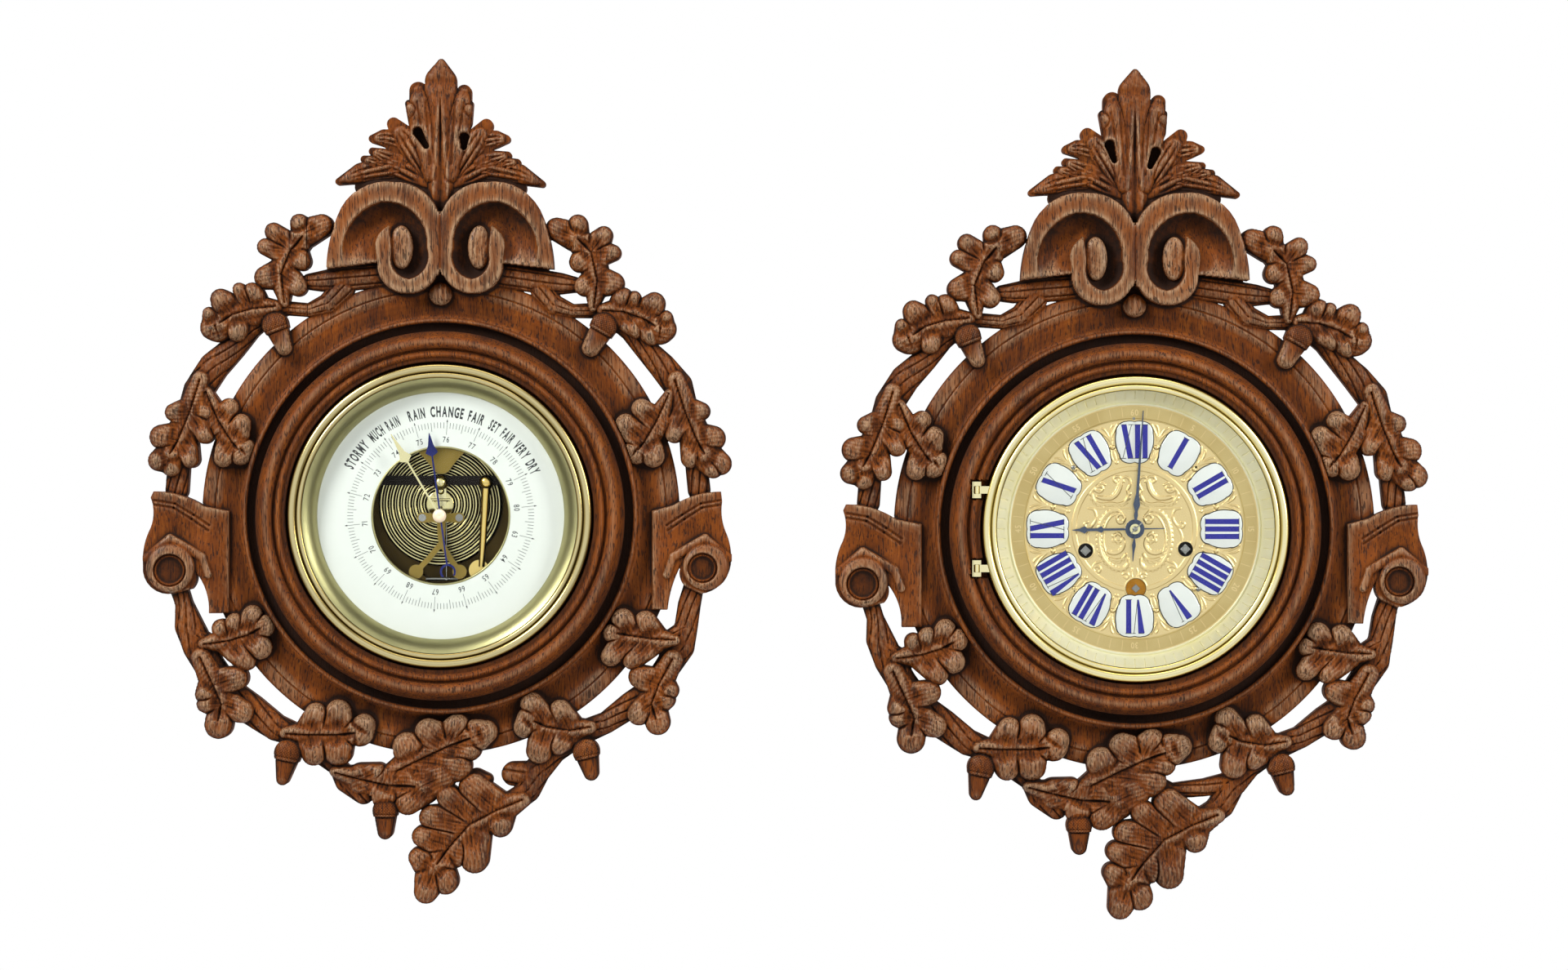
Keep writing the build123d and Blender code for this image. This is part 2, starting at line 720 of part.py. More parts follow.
def ear_block(start, rows, disc, dish):
    """A side console with its turned disc."""
    disc_x, disc_z, disc_radius = scaled(disc)
    dish_x, dish_z, dish_radius = scaled(dish)
    with BuildPart() as block:
        with BuildSketch(dial_plane(bench, 0)):
            with BuildLine():
                end = arc_outline(start, rows)
                Line(end, scaled(start))
            make_face()
        extrude(amount=ear_rise)
        with BuildSketch(dial_plane(bench, 0, disc_x, disc_z)):
            Circle(disc_radius)
        extrude(amount=ear_disc_rise)
        with BuildSketch(dial_plane(bench, ear_disc_rise - ear_dish_depth, dish_x, dish_z)):
            Circle(dish_radius)
        extrude(amount=ear_disc_rise, mode=Mode.SUBTRACT)
    return block.part


def keep(name, builder):
    builder.part.label = name
    export_step(builder.part, f"parts/{name}.step")


def post(unit, x, z, low, high, radius, mode=Mode.ADD):
    """A round bar square to the dial, between two heights off the wall."""
    with BuildSketch(dial_plane(unit, low, x, z)) as round_end:
        Circle(radius)
    extrude(round_end.sketch, amount=high - low, mode=mode)


def block(unit, x, z, low, high, width, height, mode=Mode.ADD, turn=0):
    """A block square to the dial, centred on a place, between two heights off the wall."""
    with BuildSketch(dial_plane(unit, low, x, z)) as square_end:
        Rectangle(width, height, rotation=turn)
    extrude(square_end.sketch, amount=high - low, mode=mode)


def upright_bar(unit, x, low_z, high_z, height, radius, mode=Mode.ADD):
    """A round bar parallel to the wall, between two levels."""
    foot = Plane(origin=(unit.x + x, -height, unit.z + low_z), x_dir=(1, 0, 0), z_dir=(0, 0, 1))
    with BuildSketch(foot) as end_face:
        Circle(radius)
    extrude(end_face.sketch, amount=high_z - low_z, mode=mode)


def cross_bar(unit, left_x, right_x, z, height, radius, mode=Mode.ADD):
    """A level round bar parallel to the wall."""
    foot = Plane(origin=(unit.x + left_x, -height, unit.z + z), x_dir=(0, 1, 0), z_dir=(1, 0, 0))
    with BuildSketch(foot) as end_face:
        Circle(radius)
    extrude(end_face.sketch, amount=right_x - left_x, mode=mode)


def turned(unit, start, rows, x=0.0, z=0.0, mode=Mode.ADD):
    """A turned piece: each row of its section is a midway point or None, and an end point."""
    with BuildSketch(turning_plane(unit, 0, x, z)) as section:
        with BuildLine():
            here = start
            for midway, end in rows:
                if midway is None:
                    Line(here, end)
                else:
                    ThreePointArc(here, midway, end)
                here = end
            Line(here, start)
        make_face()
    revolve(section.sketch, axis=turning_axis(unit, x, z), mode=mode)


def straight(*points):
    return [(None, point) for point in points]


def band_piece(unit, limbs, low, high, x=0.0, z=0.0, mode=Mode.ADD):
    """A flat piece cut to an outline of joined bands."""
    with BuildSketch(dial_plane(unit, low, x, z)) as outline:
        for band in limbs:
            add(band)
    extrude(outline.sketch, amount=high - low, mode=mode)


def toothed_disc(unit, x, z, low, high, tip_radius, depth, teeth, turn=0.0):
    root_radius = tip_radius - depth
    points = []
    for step in range(2 * teeth):
        radius = root_radius if step % 2 else tip_radius
        angle = pi * step / teeth + radians(turn)
        points.append((radius * cos(angle), radius * sin(angle)))
    with BuildSketch(dial_plane(unit, low, x, z)) as outline:
        with BuildLine():
            Polyline(*points, close=True)
        make_face()
    extrude(outline.sketch, amount=high - low)


def crossings(unit, x, z, low, high, rim_radius, hub_radius):
    """The windows between a wheel's arms."""
    with BuildSketch(dial_plane(unit, low - cut_overrun, x, z)) as windows:
        Circle(rim_radius)
        Circle(hub_radius, mode=Mode.SUBTRACT)
        for bar in range(wheel_spokes // 2):
            Rectangle(2 * rim_radius, wheel_spoke_width, rotation=360 * bar / wheel_spokes + corner_turn,
                      mode=Mode.SUBTRACT)
    extrude(windows.sketch, amount=high - low + 2 * cut_overrun, mode=Mode.SUBTRACT)


def hand_face(reach, heading, rows):
    """A hand's blade from its arbor, drawn through places along it and half widths."""
    angle = radians(heading)
    left = []
    right = []
    for place, half_width in rows:
        along = reach * place
        side = reach * half_width
        left.append((along * cos(angle) - side * sin(angle), along * sin(angle) + side * cos(angle)))
        right.append((along * cos(angle) + side * sin(angle), along * sin(angle) - side * cos(angle)))
    with BuildSketch(Plane.XY) as blade:
        with BuildLine():
            Polyline(*left, *reversed(right), close=True)
        make_face()
    return blade.sketch


# Carved front, made once on the bench and shared by both cases
ornaments = [ridged(leaf_limbs(midrib, lobes), leaf_rise, leaf_fall, midrib[0], midrib[-1])
             for midrib, lobes in leaf_shares]
ornaments += [carved(chain_limbs(chain, branch_swell_share), branch_rise) for chain in branch_shares]
ornaments += [carved([limb(scaled(cup), scaled(nut))], acorn_rise) for cup, nut in acorn_shares]
crest_limbs = [band for chain in crest_shares for band in chain_limbs(chain, crest_swell_share)]
ornaments.append(ridged(crest_limbs, crest_rise, crest_fall, crest_shares[0][0], crest_shares[0][-1]))
ornaments.append(scroll_block(-1))
ornaments.append(scroll_block(1))
ornaments.append(ear_block(left_ear_start_share, left_ear_shares, ear_disc_shares[0], ear_dish_shares[0]))
ornaments.append(ear_block(right_ear_start_share, right_ear_shares, ear_disc_shares[1], ear_dish_shares[1]))

# Round panel, turned with a coved face and a scored line near its edge
with BuildPart() as panel:
    groove_floor = panel_crown_height - panel_groove_depth
    panel_inner_radius = ring_outer_radius + panel_inner_gap
    panel_edge_radius = panel_edge_share * panel_radius
    turned(bench, (panel_hole_radius, 0), [
        (None, (panel_edge_radius, 0)),
        (None, (panel_edge_radius, panel_edge_height)),
        (None, (panel_groove_radius + panel_groove_half_width, panel_crown_height)),
        (None, (panel_groove_radius, groove_floor)),
        (None, (panel_groove_radius - panel_groove_half_width, panel_crown_height)),
        ((panel_cove_radius, panel_cove_height), (panel_inner_radius, panel_inner_height)),
        (None, (panel_inner_radius, board_height)),
        (None, (panel_hole_radius, board_height)),
    ])
    post(bench, scaled(scroll_boss_share)[0], scaled(scroll_boss_share)[1], 0, crest_rise,
         scaled(scroll_boss_share)[2])


def carved_front(unit, loop_shares):
    """The whole carved front of one case, before it is parted into its three boards."""
    loop = [carved(chain_limbs(chain, branch_swell_share), branch_rise) for chain in loop_shares]
    with BuildPart() as front:
        add([panel.part, *ornaments, *loop])
        # the ring moulding's seat stays clear of every leaf
        with BuildSketch(dial_plane(bench, board_height)):
            Circle(ring_outer_radius + panel_inner_gap)
        extrude(amount=2 * leaf_rise, mode=Mode.SUBTRACT)
    return front.part.moved(Location((unit.x, -unit.back, unit.z)))


def board(front, unit, low, high):
    """One of the edge-glued boards, between two places across the front."""
    slab_height = 4 * panel_radius
    with BuildPart() as piece:
        add(front)
        with BuildSketch(dial_plane(unit, 0, (low + high) / 2)):
            Rectangle(high - low, slab_height)
        extrude(amount=unit.back + 2 * leaf_rise, mode=Mode.INTERSECT)
    return piece.part


outer_reach = 1.5 * panel_radius
clock_front = carved_front(clock, whole_loop_shares)
barometer_front = carved_front(barometer, broken_loop_shares)

with BuildPart() as clock_left_board:
    add(board(clock_front, clock, -outer_reach, -board_split))
with BuildPart() as clock_centre_board:
    add(board(clock_front, clock, -board_split, board_split))
with BuildPart() as clock_right_board:
    add(board(clock_front, clock, board_split, outer_reach))
with BuildPart() as barometer_left_board:
    add(board(barometer_front, barometer, -outer_reach, -board_split))
with BuildPart() as barometer_centre_board:
    add(board(barometer_front, barometer, -board_split, board_split))
with BuildPart() as barometer_right_board:
    add(board(barometer_front, barometer, board_split, outer_reach))

keep("clock_left_board", clock_left_board)
keep("clock_centre_board", clock_centre_board)
keep("clock_right_board", clock_right_board)
keep("barometer_left_board", barometer_left_board)
keep("barometer_centre_board", barometer_centre_board)
keep("barometer_right_board", barometer_right_board)

# Turned ring moulding
clock_ledge = clock.back + board_height
barometer_ledge = barometer.back + board_height


def ring_section(ledge):
    bead_middle = (bead_inner_radius + bead_outer_radius) / 2
    edge_middle = (groove_outer_radius + ring_outer_radius) / 2
    edge_crown = ring_outer_height + (ring_outer_radius - groove_outer_radius) / 2
    return (ring_bore_radius, ledge), [
        (None, (ring_bore_radius, ledge + ring_lip_height)),
        (None, (bead_inner_radius, ledge + ring_lip_height)),
        ((bead_middle, ledge + bead_height), (bead_outer_radius, ledge + ring_lip_height)),
        (None, (torus_inner_radius, ledge + torus_foot_height)),
        ((torus_peak_radius, ledge + torus_height), (torus_outer_radius, ledge + torus_foot_height)),
        (None, (groove_inner_radius, ledge + torus_skirt_height)),
        (None, (groove_inner_radius, ledge + groove_height)),
        (None, (groove_outer_radius, ledge + groove_height)),
        (None, (groove_outer_radius, ledge + ring_outer_height)),
        ((edge_middle, ledge + edge_crown), (ring_outer_radius, ledge + ring_outer_height)),
        (None, (ring_outer_radius, ledge)),
    ]


hinge_x = -(bezel_radius + hinge_offset)
hinge_axis_height = clock_ledge + hinge_height
hinge_seat_height = hinge_axis_height - hinge_barrel_radius - 2 * moving_gap - rim_flange_thickness
hinge_half_length = hinge_barrel_length / 2 + hinge_block_length
notch_outer_x = hinge_x - hinge_plate_width / 2 - hinge_notch_margin
hinge_root_x = hinge_x + hinge_leaf_reach

with BuildPart() as barometer_ring_moulding:
    turned(barometer, *ring_section(barometer_ledge))
with BuildPart() as clock_ring_moulding:
    turned(clock, *ring_section(clock_ledge))
    for z in (-hinge_spread, hinge_spread):
        block(clock, (notch_outer_x + hinge_root_x) / 2, z, hinge_seat_height, clock_ledge + torus_height,
              hinge_root_x - notch_outer_x, 2 * (hinge_half_length + hinge_notch_margin), mode=Mode.SUBTRACT)
keep("barometer_ring_moulding", barometer_ring_moulding)
keep("clock_ring_moulding", clock_ring_moulding)


def bezel_section(ledge):
    main_bead = (bezel_radius + bezel_bore_radius) / 2 + 2 * bezel_lip
    waist_radius = main_bead - 3 * bezel_lip
    inner_bead = (waist_radius + bezel_bore_radius) / 2
    return (bezel_radius, ledge + bezel_base_height), [
        (None, (bezel_radius, ledge + bezel_shoulder_height)),
        ((main_bead, ledge + bezel_height), (waist_radius, ledge + bezel_lip_height + bezel_lip)),
        ((inner_bead, ledge + bezel_lip_height + 2 * bezel_lip),
         (bezel_bore_radius, ledge + bezel_lip_height + bezel_lip)),
        (None, (bezel_bore_radius, ledge + bezel_lip_height)),
        (None, (glass_step_radius, ledge + bezel_lip_height)),
        (None, (glass_step_radius, ledge + bezel_base_height)),
    ]


with BuildPart() as barometer_bezel:
    turned(barometer, *bezel_section(barometer_ledge))
keep("barometer_bezel", barometer_bezel)

with BuildPart() as barometer_glass:
    barometer_glass_height = barometer_ledge + bezel_lip_height - glass_thickness
    post(barometer, 0, 0, barometer_glass_height, barometer_ledge + bezel_lip_height, glass_radius)
    post(barometer, 0, 0, barometer_glass_height - cut_overrun, barometer_ledge + bezel_height,
         set_shaft_radius + running_clearance, mode=Mode.SUBTRACT)
keep("barometer_glass", barometer_glass)


def rim_section(ledge, inner_radius, top_height):
    foot = ledge + dial_thickness
    top = ledge + top_height
    under = top - rim_flange_thickness
    slope_end = bezel_bore_radius + rim_wall
    return (inner_radius, foot), [
        (None, (slope_end, top)),
        (None, (rim_flange_radius, top)),
        (None, (rim_flange_radius, foot)),
        (None, (rim_flange_radius - rim_wall, foot)),
        (None, (rim_flange_radius - rim_wall, under)),
        (None, (slope_end + rim_wall, under)),
        (None, (inner_radius + rim_wall, foot)),
    ]


with BuildPart() as barometer_dial_rim:
    turned(barometer, *rim_section(barometer_ledge, dial_white_radius, bezel_base_height))
keep("barometer_dial_rim", barometer_dial_rim)

with BuildPart() as barometer_dial:
    post(barometer, 0, 0, barometer_ledge, barometer_ledge + dial_thickness, dial_radius)
    post(barometer, 0, 0, barometer_ledge - cut_overrun, barometer_ledge + bezel_height, dial_opening_radius,
         mode=Mode.SUBTRACT)
keep("barometer_dial", barometer_dial)

# Barometer case and mechanism


def hanging_pocket(unit):
    """The recess for the hanging plate, and the room behind its hole."""
    block(unit, 0, eye_drop, -cut_overrun, eye_plate_thickness, eye_plate_width, eye_plate_height,
          mode=Mode.SUBTRACT)
    post(unit, 0, eye_drop, 0, eye_plate_thickness + eye_pocket_depth, eye_pocket_radius, mode=Mode.SUBTRACT)


def hanging_plate(unit):
    block(unit, 0, eye_drop, 0, eye_plate_thickness, eye_plate_width, eye_plate_height)
    post(unit, 0, eye_drop, -cut_overrun, eye_plate_thickness + cut_overrun, eye_radius, mode=Mode.SUBTRACT)


with BuildPart() as barometer_back_frame:
    post(barometer, 0, 0, 0, barometer.back, frame_radius)
    post(barometer, 0, 0, -cut_overrun, barometer.back + cut_overrun, frame_bore_radius, mode=Mode.SUBTRACT)
    hanging_pocket(barometer)
keep("barometer_back_frame", barometer_back_frame)

with BuildPart() as barometer_hanging_plate:
    hanging_plate(barometer)
keep("barometer_hanging_plate", barometer_hanging_plate)

drum_floor = drum_back_height + drum_wall
with BuildPart() as barometer_drum:
    turned(barometer, (0, drum_back_height), straight(
        (drum_radius, drum_back_height),
        (drum_radius, barometer.back - drum_wall),
        (drum_flange_radius, barometer.back - drum_wall),
        (drum_flange_radius, barometer.back),
        (drum_radius, barometer.back),
        (drum_radius, barometer_ledge - flat_gap),
        (drum_radius - drum_wall, barometer_ledge - flat_gap),
        (drum_radius - drum_wall, drum_floor),
        (0, drum_floor),
    ))
keep("barometer_drum", barometer_drum)

base_top = drum_floor + base_plate_thickness
beam_pillar_x = beam_length / 2 - beam_pillar_radius
rocker_post_x = rocker_half_length - rocker_post_radius
with BuildPart() as barometer_base_plate:
    post(barometer, 0, 0, drum_floor, base_top, base_plate_radius)
    for side in (-1, 1):
        post(barometer, side * beam_pillar_x, beam_z, base_top, beam_height, beam_pillar_radius)
        post(barometer, side * rocker_post_x, rocker_z, base_top, rocker_height + rocker_post_radius,
             rocker_post_radius)
    cross_bar(barometer, -rocker_half_length - cut_overrun, rocker_half_length + cut_overrun, rocker_z,
              rocker_height,
              rocker_radius + running_clearance, mode=Mode.SUBTRACT)
keep("barometer_base_plate", barometer_base_plate)

with BuildPart() as barometer_capsule:
    ridge_width = (capsule_radius - capsule_flat_radius) / (2 * capsule_ridges + 1)
    front_rows = [(None, (capsule_radius, capsule_base_height)),
                  (None, (capsule_radius, capsule_height - capsule_ridge_depth))]
    for step in range(1, 2 * capsule_ridges + 1):
        crest = capsule_height if step % 2 else capsule_height - capsule_ridge_depth
        front_rows.append((None, (capsule_radius - step * ridge_width, crest)))
    front_rows += straight((capsule_flat_radius, capsule_height), (0, capsule_height))
    turned(barometer, (0, capsule_base_height), front_rows, capsule_x, capsule_z)
    post(barometer, capsule_x, capsule_z, base_top, capsule_base_height, capsule_stud_radius)
    post(barometer, capsule_x, capsule_z, capsule_height, beam_height, capsule_post_radius)
    # the foot of the post reaches up to the beam's lower edge
    post_foot = (capsule_x, capsule_z, capsule_post_radius)
    band_piece(barometer, [limb(post_foot, (capsule_x, beam_z, capsule_post_radius))],
               beam_height - beam_thickness, beam_height)
keep("barometer_capsule", barometer_capsule)

with BuildPart() as barometer_beam_spring:
    block(barometer, 0, beam_z, beam_height, beam_height + beam_thickness, beam_length, beam_width)
keep("barometer_beam_spring", barometer_beam_spring)

beam_top = beam_height + beam_thickness
with BuildPart() as barometer_beam_nut:
    ball_height = beam_top + nut_radius
    with Locations((barometer.x + nut_x, -ball_height, barometer.z + nut_z)):
        Sphere(nut_radius)
    post(barometer, nut_x, nut_z, beam_top, ball_height, small_ball_radius)
    fork_base = beam_top + fork_thickness
    block(barometer, nut_x, (fork_top_z + fork_foot_z) / 2, fork_base, fork_base + fork_thickness,
          fork_width, fork_top_z - fork_foot_z)
    with Locations((barometer.x + nut_x, -(fork_base + fork_thickness),
                    barometer.z + fork_top_z - small_ball_radius)):
        Sphere(small_ball_radius)
    cross_bar(barometer, link_left_x, link_right_x, link_z, fork_base + fork_thickness + link_radius / 2,
              link_radius)
keep("barometer_beam_nut", barometer_beam_nut)

with BuildPart() as barometer_fan_bracket:
    with BuildSketch(dial_plane(barometer, fan_height)):
        with BuildLine():
            Line((-fan_top_half_width, fan_top_z), (fan_top_half_width, fan_top_z))
            ThreePointArc((fan_top_half_width, fan_top_z), (fan_waist_half_width, fan_waist_z),
                          (fan_neck_half_width, fan_neck_z))
            ThreePointArc((fan_neck_half_width, fan_neck_z), (0, fan_neck_z - fan_neck_half_width / 2),
                          (-fan_neck_half_width, fan_neck_z))
            ThreePointArc((-fan_neck_half_width, fan_neck_z), (-fan_waist_half_width, fan_waist_z),
                          (-fan_top_half_width, fan_top_z))
        make_face()
    extrude(amount=fan_thickness)
    for x in (-fan_top_half_width + 2 * post_radius, fan_top_half_width - 2 * post_radius):
        post(barometer, x, fan_top_z - post_radius, base_top, fan_height, post_radius)
keep("barometer_fan_bracket", barometer_fan_bracket)

with BuildPart() as barometer_side_lever:
    lever_height = beam_top + nut_radius
    top_point = (barometer.x + lever_ball_x, -lever_height, barometer.z + lever_ball_z)
    end_point = (barometer.x + lever_foot_x, -lever_height, barometer.z + lever_foot_z)
    lever_length = hypot(lever_ball_x - lever_foot_x, lever_ball_z - lever_foot_z)
    lever_direction = tuple((end - top) / lever_length for top, end in zip(top_point, end_point))
    with Locations(top_point):
        Sphere(nut_radius)
    post(barometer, lever_ball_x, lever_ball_z, beam_top, lever_height, small_ball_radius)
    with BuildSketch(Plane(origin=top_point, z_dir=lever_direction)) as lever_top:
        Circle(lever_top_radius)
    with BuildSketch(Plane(origin=end_point, z_dir=lever_direction)) as lever_end:
        Circle(lever_end_radius)
    loft([lever_top.sketch, lever_end.sketch])
    disc_height = lever_height - lever_end_radius
    post(barometer, lever_disc_x, lever_disc_z, disc_height - lever_disc_thickness, disc_height,
         lever_disc_radius)
    post(barometer, lever_disc_x, lever_disc_z, base_top, disc_height, post_radius)
keep("barometer_side_lever", barometer_side_lever)

bridge_top = bridge_height + bridge_thickness
with BuildPart() as barometer_bridge:
    bridge_limbs = [
        limb((bar_left_x, -bar_drop, bar_end_radius), (0, -bar_drop, bar_waist_radius)),
        limb((bar_right_x, -bar_drop, bar_end_radius), (0, -bar_drop, bar_waist_radius)),
        limb((0, -bar_drop, bridge_neck_radius + running_clearance), (0, bridge_neck_z, bridge_neck_radius)),
        limb((0, bridge_neck_z, bridge_neck_radius), (0, bridge_fork_z, bridge_arm_radius)),
    ]
    for foot_x in (bridge_left_foot_x, bridge_right_foot_x):
        bend = (foot_x / 2, bridge_bend_z, bridge_arm_radius)
        bridge_limbs.append(limb((0, bridge_fork_z, bridge_arm_radius), bend))
        bridge_limbs.append(limb(bend, (foot_x, bridge_foot_z, bridge_arm_radius + running_clearance)))
    band_piece(barometer, bridge_limbs, bridge_height, bridge_top)
    for foot_x in (bridge_left_foot_x, bridge_right_foot_x):
        post(barometer, foot_x, bridge_foot_z, bridge_height, bridge_top, bridge_foot_radius)
        post(barometer, foot_x, bridge_foot_z, base_top, bridge_height, post_radius)
    post(barometer, 0, 0, bridge_height - cut_overrun, bridge_top, arbor_hub_radius)
    post(barometer, 0, 0, bridge_height - 2 * cut_overrun, bridge_top + cut_overrun,
         pointer_arbor_radius + running_clearance, mode=Mode.SUBTRACT)
keep("barometer_bridge", barometer_bridge)

with BuildPart() as barometer_bridge_screws:
    screw_top = bridge_top + screw_head_thickness
    for x in (bar_left_x, bar_right_x):
        post(barometer, x, -bar_drop, bridge_top, screw_top, screw_head_radius)
        block(barometer, x, -bar_drop, screw_top - screw_slot_width, screw_top + cut_overrun,
              2 * bar_end_radius, screw_slot_width, mode=Mode.SUBTRACT, turn=corner_turn)
keep("barometer_bridge_screws", barometer_bridge_screws)

with BuildPart() as barometer_rocker:
    cross_bar(barometer, -rocker_half_length, rocker_half_length, rocker_z, rocker_height, rocker_radius)
    post(barometer, chain_top_x, rocker_z, rocker_height - rocker_arm_length,
         rocker_height + rocker_arm_length,
         rocker_arm_radius)
keep("barometer_rocker", barometer_rocker)

with BuildPart() as barometer_chain:
    chain_height = rocker_height + rocker_arm_length - chain_radius - flat_gap
    chain_foot_z = rocker_z + rocker_arm_radius + chain_slack
    upright_bar(barometer, chain_top_x, chain_foot_z, chain_top_z, chain_height, chain_radius)
keep("barometer_chain", barometer_chain)

with BuildPart() as barometer_pointer_arbor:
    arbor_foot = bridge_height - 2 * cut_overrun
    post(barometer, 0, 0, arbor_foot, pressure_hand_height + hand_thickness, pointer_arbor_radius)
    post(barometer, 0, 0, arbor_foot, bridge_height - cut_overrun - running_clearance, pointer_collet_radius)
keep("barometer_pointer_arbor", barometer_pointer_arbor)

with BuildPart() as barometer_pressure_hand:
    tail_heading = pressure_hand_heading + 180
    tail_angle = radians(tail_heading)
    crescent_reach = pressure_tail_reach + pressure_crescent_radius - pressure_crescent_width
    crescent_x = crescent_reach * cos(tail_angle)
    crescent_z = crescent_reach * sin(tail_angle)
    tail_half_width_share = hand_shaft_half_width / pressure_tail_reach
    with BuildSketch(dial_plane(barometer, pressure_hand_height)):
        Circle(pointer_collet_radius)
        add(hand_face(pressure_hand_reach, pressure_hand_heading, pressure_head_shares))
        add(hand_face(pressure_tail_reach, tail_heading, ((0, tail_half_width_share),
                                                          (1, tail_half_width_share))))
        with Locations((crescent_x, crescent_z)):
            Circle(pressure_crescent_radius)
            Circle(pressure_crescent_radius - pressure_crescent_width, mode=Mode.SUBTRACT)
        with Locations((crescent_x + 2 * pressure_crescent_radius * cos(tail_angle),
                        crescent_z + 2 * pressure_crescent_radius * sin(tail_angle))):
            Circle(crescent_bite * pressure_crescent_radius, mode=Mode.SUBTRACT)
        Circle(pointer_arbor_radius, mode=Mode.SUBTRACT)
    extrude(amount=hand_thickness)
keep("barometer_pressure_hand", barometer_pressure_hand)

glass_top = barometer_ledge + bezel_lip_height
with BuildPart() as barometer_set_hand:
    with BuildSketch(dial_plane(barometer, set_hand_height)):
        Circle(set_hub_radius)
        add(hand_face(set_hand_reach, set_hand_heading, set_head_shares))
    extrude(amount=hand_thickness)
    post(barometer, 0, 0, set_hand_height, barometer_glass_height - flat_gap, set_hub_radius)
    post(barometer, 0, 0, set_hand_height, glass_top + flat_gap, set_shaft_radius)
keep("barometer_set_hand", barometer_set_hand)

with BuildPart() as barometer_set_knob:
    knob_foot = glass_top + flat_gap
    knob_crown = knob_foot + knob_thickness
    turned(barometer, (0, knob_foot), straight(
        (knob_radius, knob_foot),
        (knob_radius, knob_foot + knob_thickness / 2),
        (knob_radius - knob_thickness / 4, knob_crown - knob_thickness / 6),
        (knob_radius / 2, knob_crown),
        (0, knob_crown),
    ))
keep("barometer_set_knob", barometer_set_knob)

# Clock case
case_bore = frame_radius - case_wall
door_opening_radius = door_radius + door_gap
door_pin_x = -(door_radius - door_pin_inset)
door_pin_top_z = sqrt(door_opening_radius ** 2 - door_pin_x ** 2) + door_pin_reach
with BuildPart() as clock_case:
    post(clock, 0, 0, 0, clock.back, frame_radius)
    post(clock, 0, 0, case_back_thickness, clock.back + cut_overrun, case_bore, mode=Mode.SUBTRACT)
    post(clock, 0, 0, -cut_overrun, clock.back, door_opening_radius, mode=Mode.SUBTRACT)
    hanging_pocket(clock)
    # holes for the door's pivot pins
    upright_bar(clock, door_pin_x, -door_pin_top_z - flat_gap, door_pin_top_z + flat_gap, door_axis_height,
                door_pin_radius + running_clearance, mode=Mode.SUBTRACT)
keep("clock_case", clock_case)

with BuildPart() as clock_back_door:
    post(clock, 0, 0, door_back_height, door_back_height + door_thickness, door_radius)
    upright_bar(clock, door_pin_x, -door_pin_top_z, door_pin_top_z, door_axis_height, door_pin_radius)
keep("clock_back_door", clock_back_door)

with BuildPart() as clock_hanging_plate:
    hanging_plate(clock)
keep("clock_hanging_plate", clock_hanging_plate)

# Clock bezel, its hinge, its glass and the ring below it
with BuildPart() as clock_bezel:
    turned(clock, *bezel_section(clock_ledge))
    for z in (-hinge_spread, hinge_spread):
        ear_length = hinge_barrel_length - 2 * flat_gap
        block(clock, (hinge_x + hinge_root_x) / 2, z, hinge_axis_height - rim_wall, hinge_axis_height,
              hinge_leaf_reach, ear_length)
        upright_bar(clock, hinge_x, z - ear_length / 2, z + ear_length / 2, hinge_axis_height,
                    hinge_barrel_radius)
        upright_bar(clock, hinge_x, z - ear_length, z + ear_length, hinge_axis_height,
                    hinge_pin_radius + running_clearance, mode=Mode.SUBTRACT)
keep("clock_bezel", clock_bezel)

with BuildPart() as clock_bezel_hinge:
    for z in (-hinge_spread, hinge_spread):
        block(clock, hinge_x, z, hinge_seat_height, hinge_seat_height + rim_flange_thickness,
              hinge_plate_width - 2 * flat_gap, 2 * hinge_half_length)
        for side in (-1, 1):
            block_z = z + side * (hinge_barrel_length + hinge_block_length) / 2
            block(clock, hinge_x, block_z, hinge_seat_height, hinge_axis_height + hinge_barrel_radius,
                  2 * hinge_barrel_radius, hinge_block_length)
        upright_bar(clock, hinge_x, z - hinge_half_length, z + hinge_half_length, hinge_axis_height,
                    hinge_pin_radius)
keep("clock_bezel_hinge", clock_bezel_hinge)

with BuildPart() as clock_glass:
    clock_glass_height = clock_ledge + bezel_lip_height - glass_thickness
    post(clock, 0, 0, clock_glass_height, clock_ledge + bezel_lip_height, glass_radius)
keep("clock_glass", clock_glass)

with BuildPart() as clock_reflector_ring:
    turned(clock, *rim_section(clock_ledge, reflector_inner_radius, bezel_base_height - moving_gap))
keep("clock_reflector_ring", clock_reflector_ring)

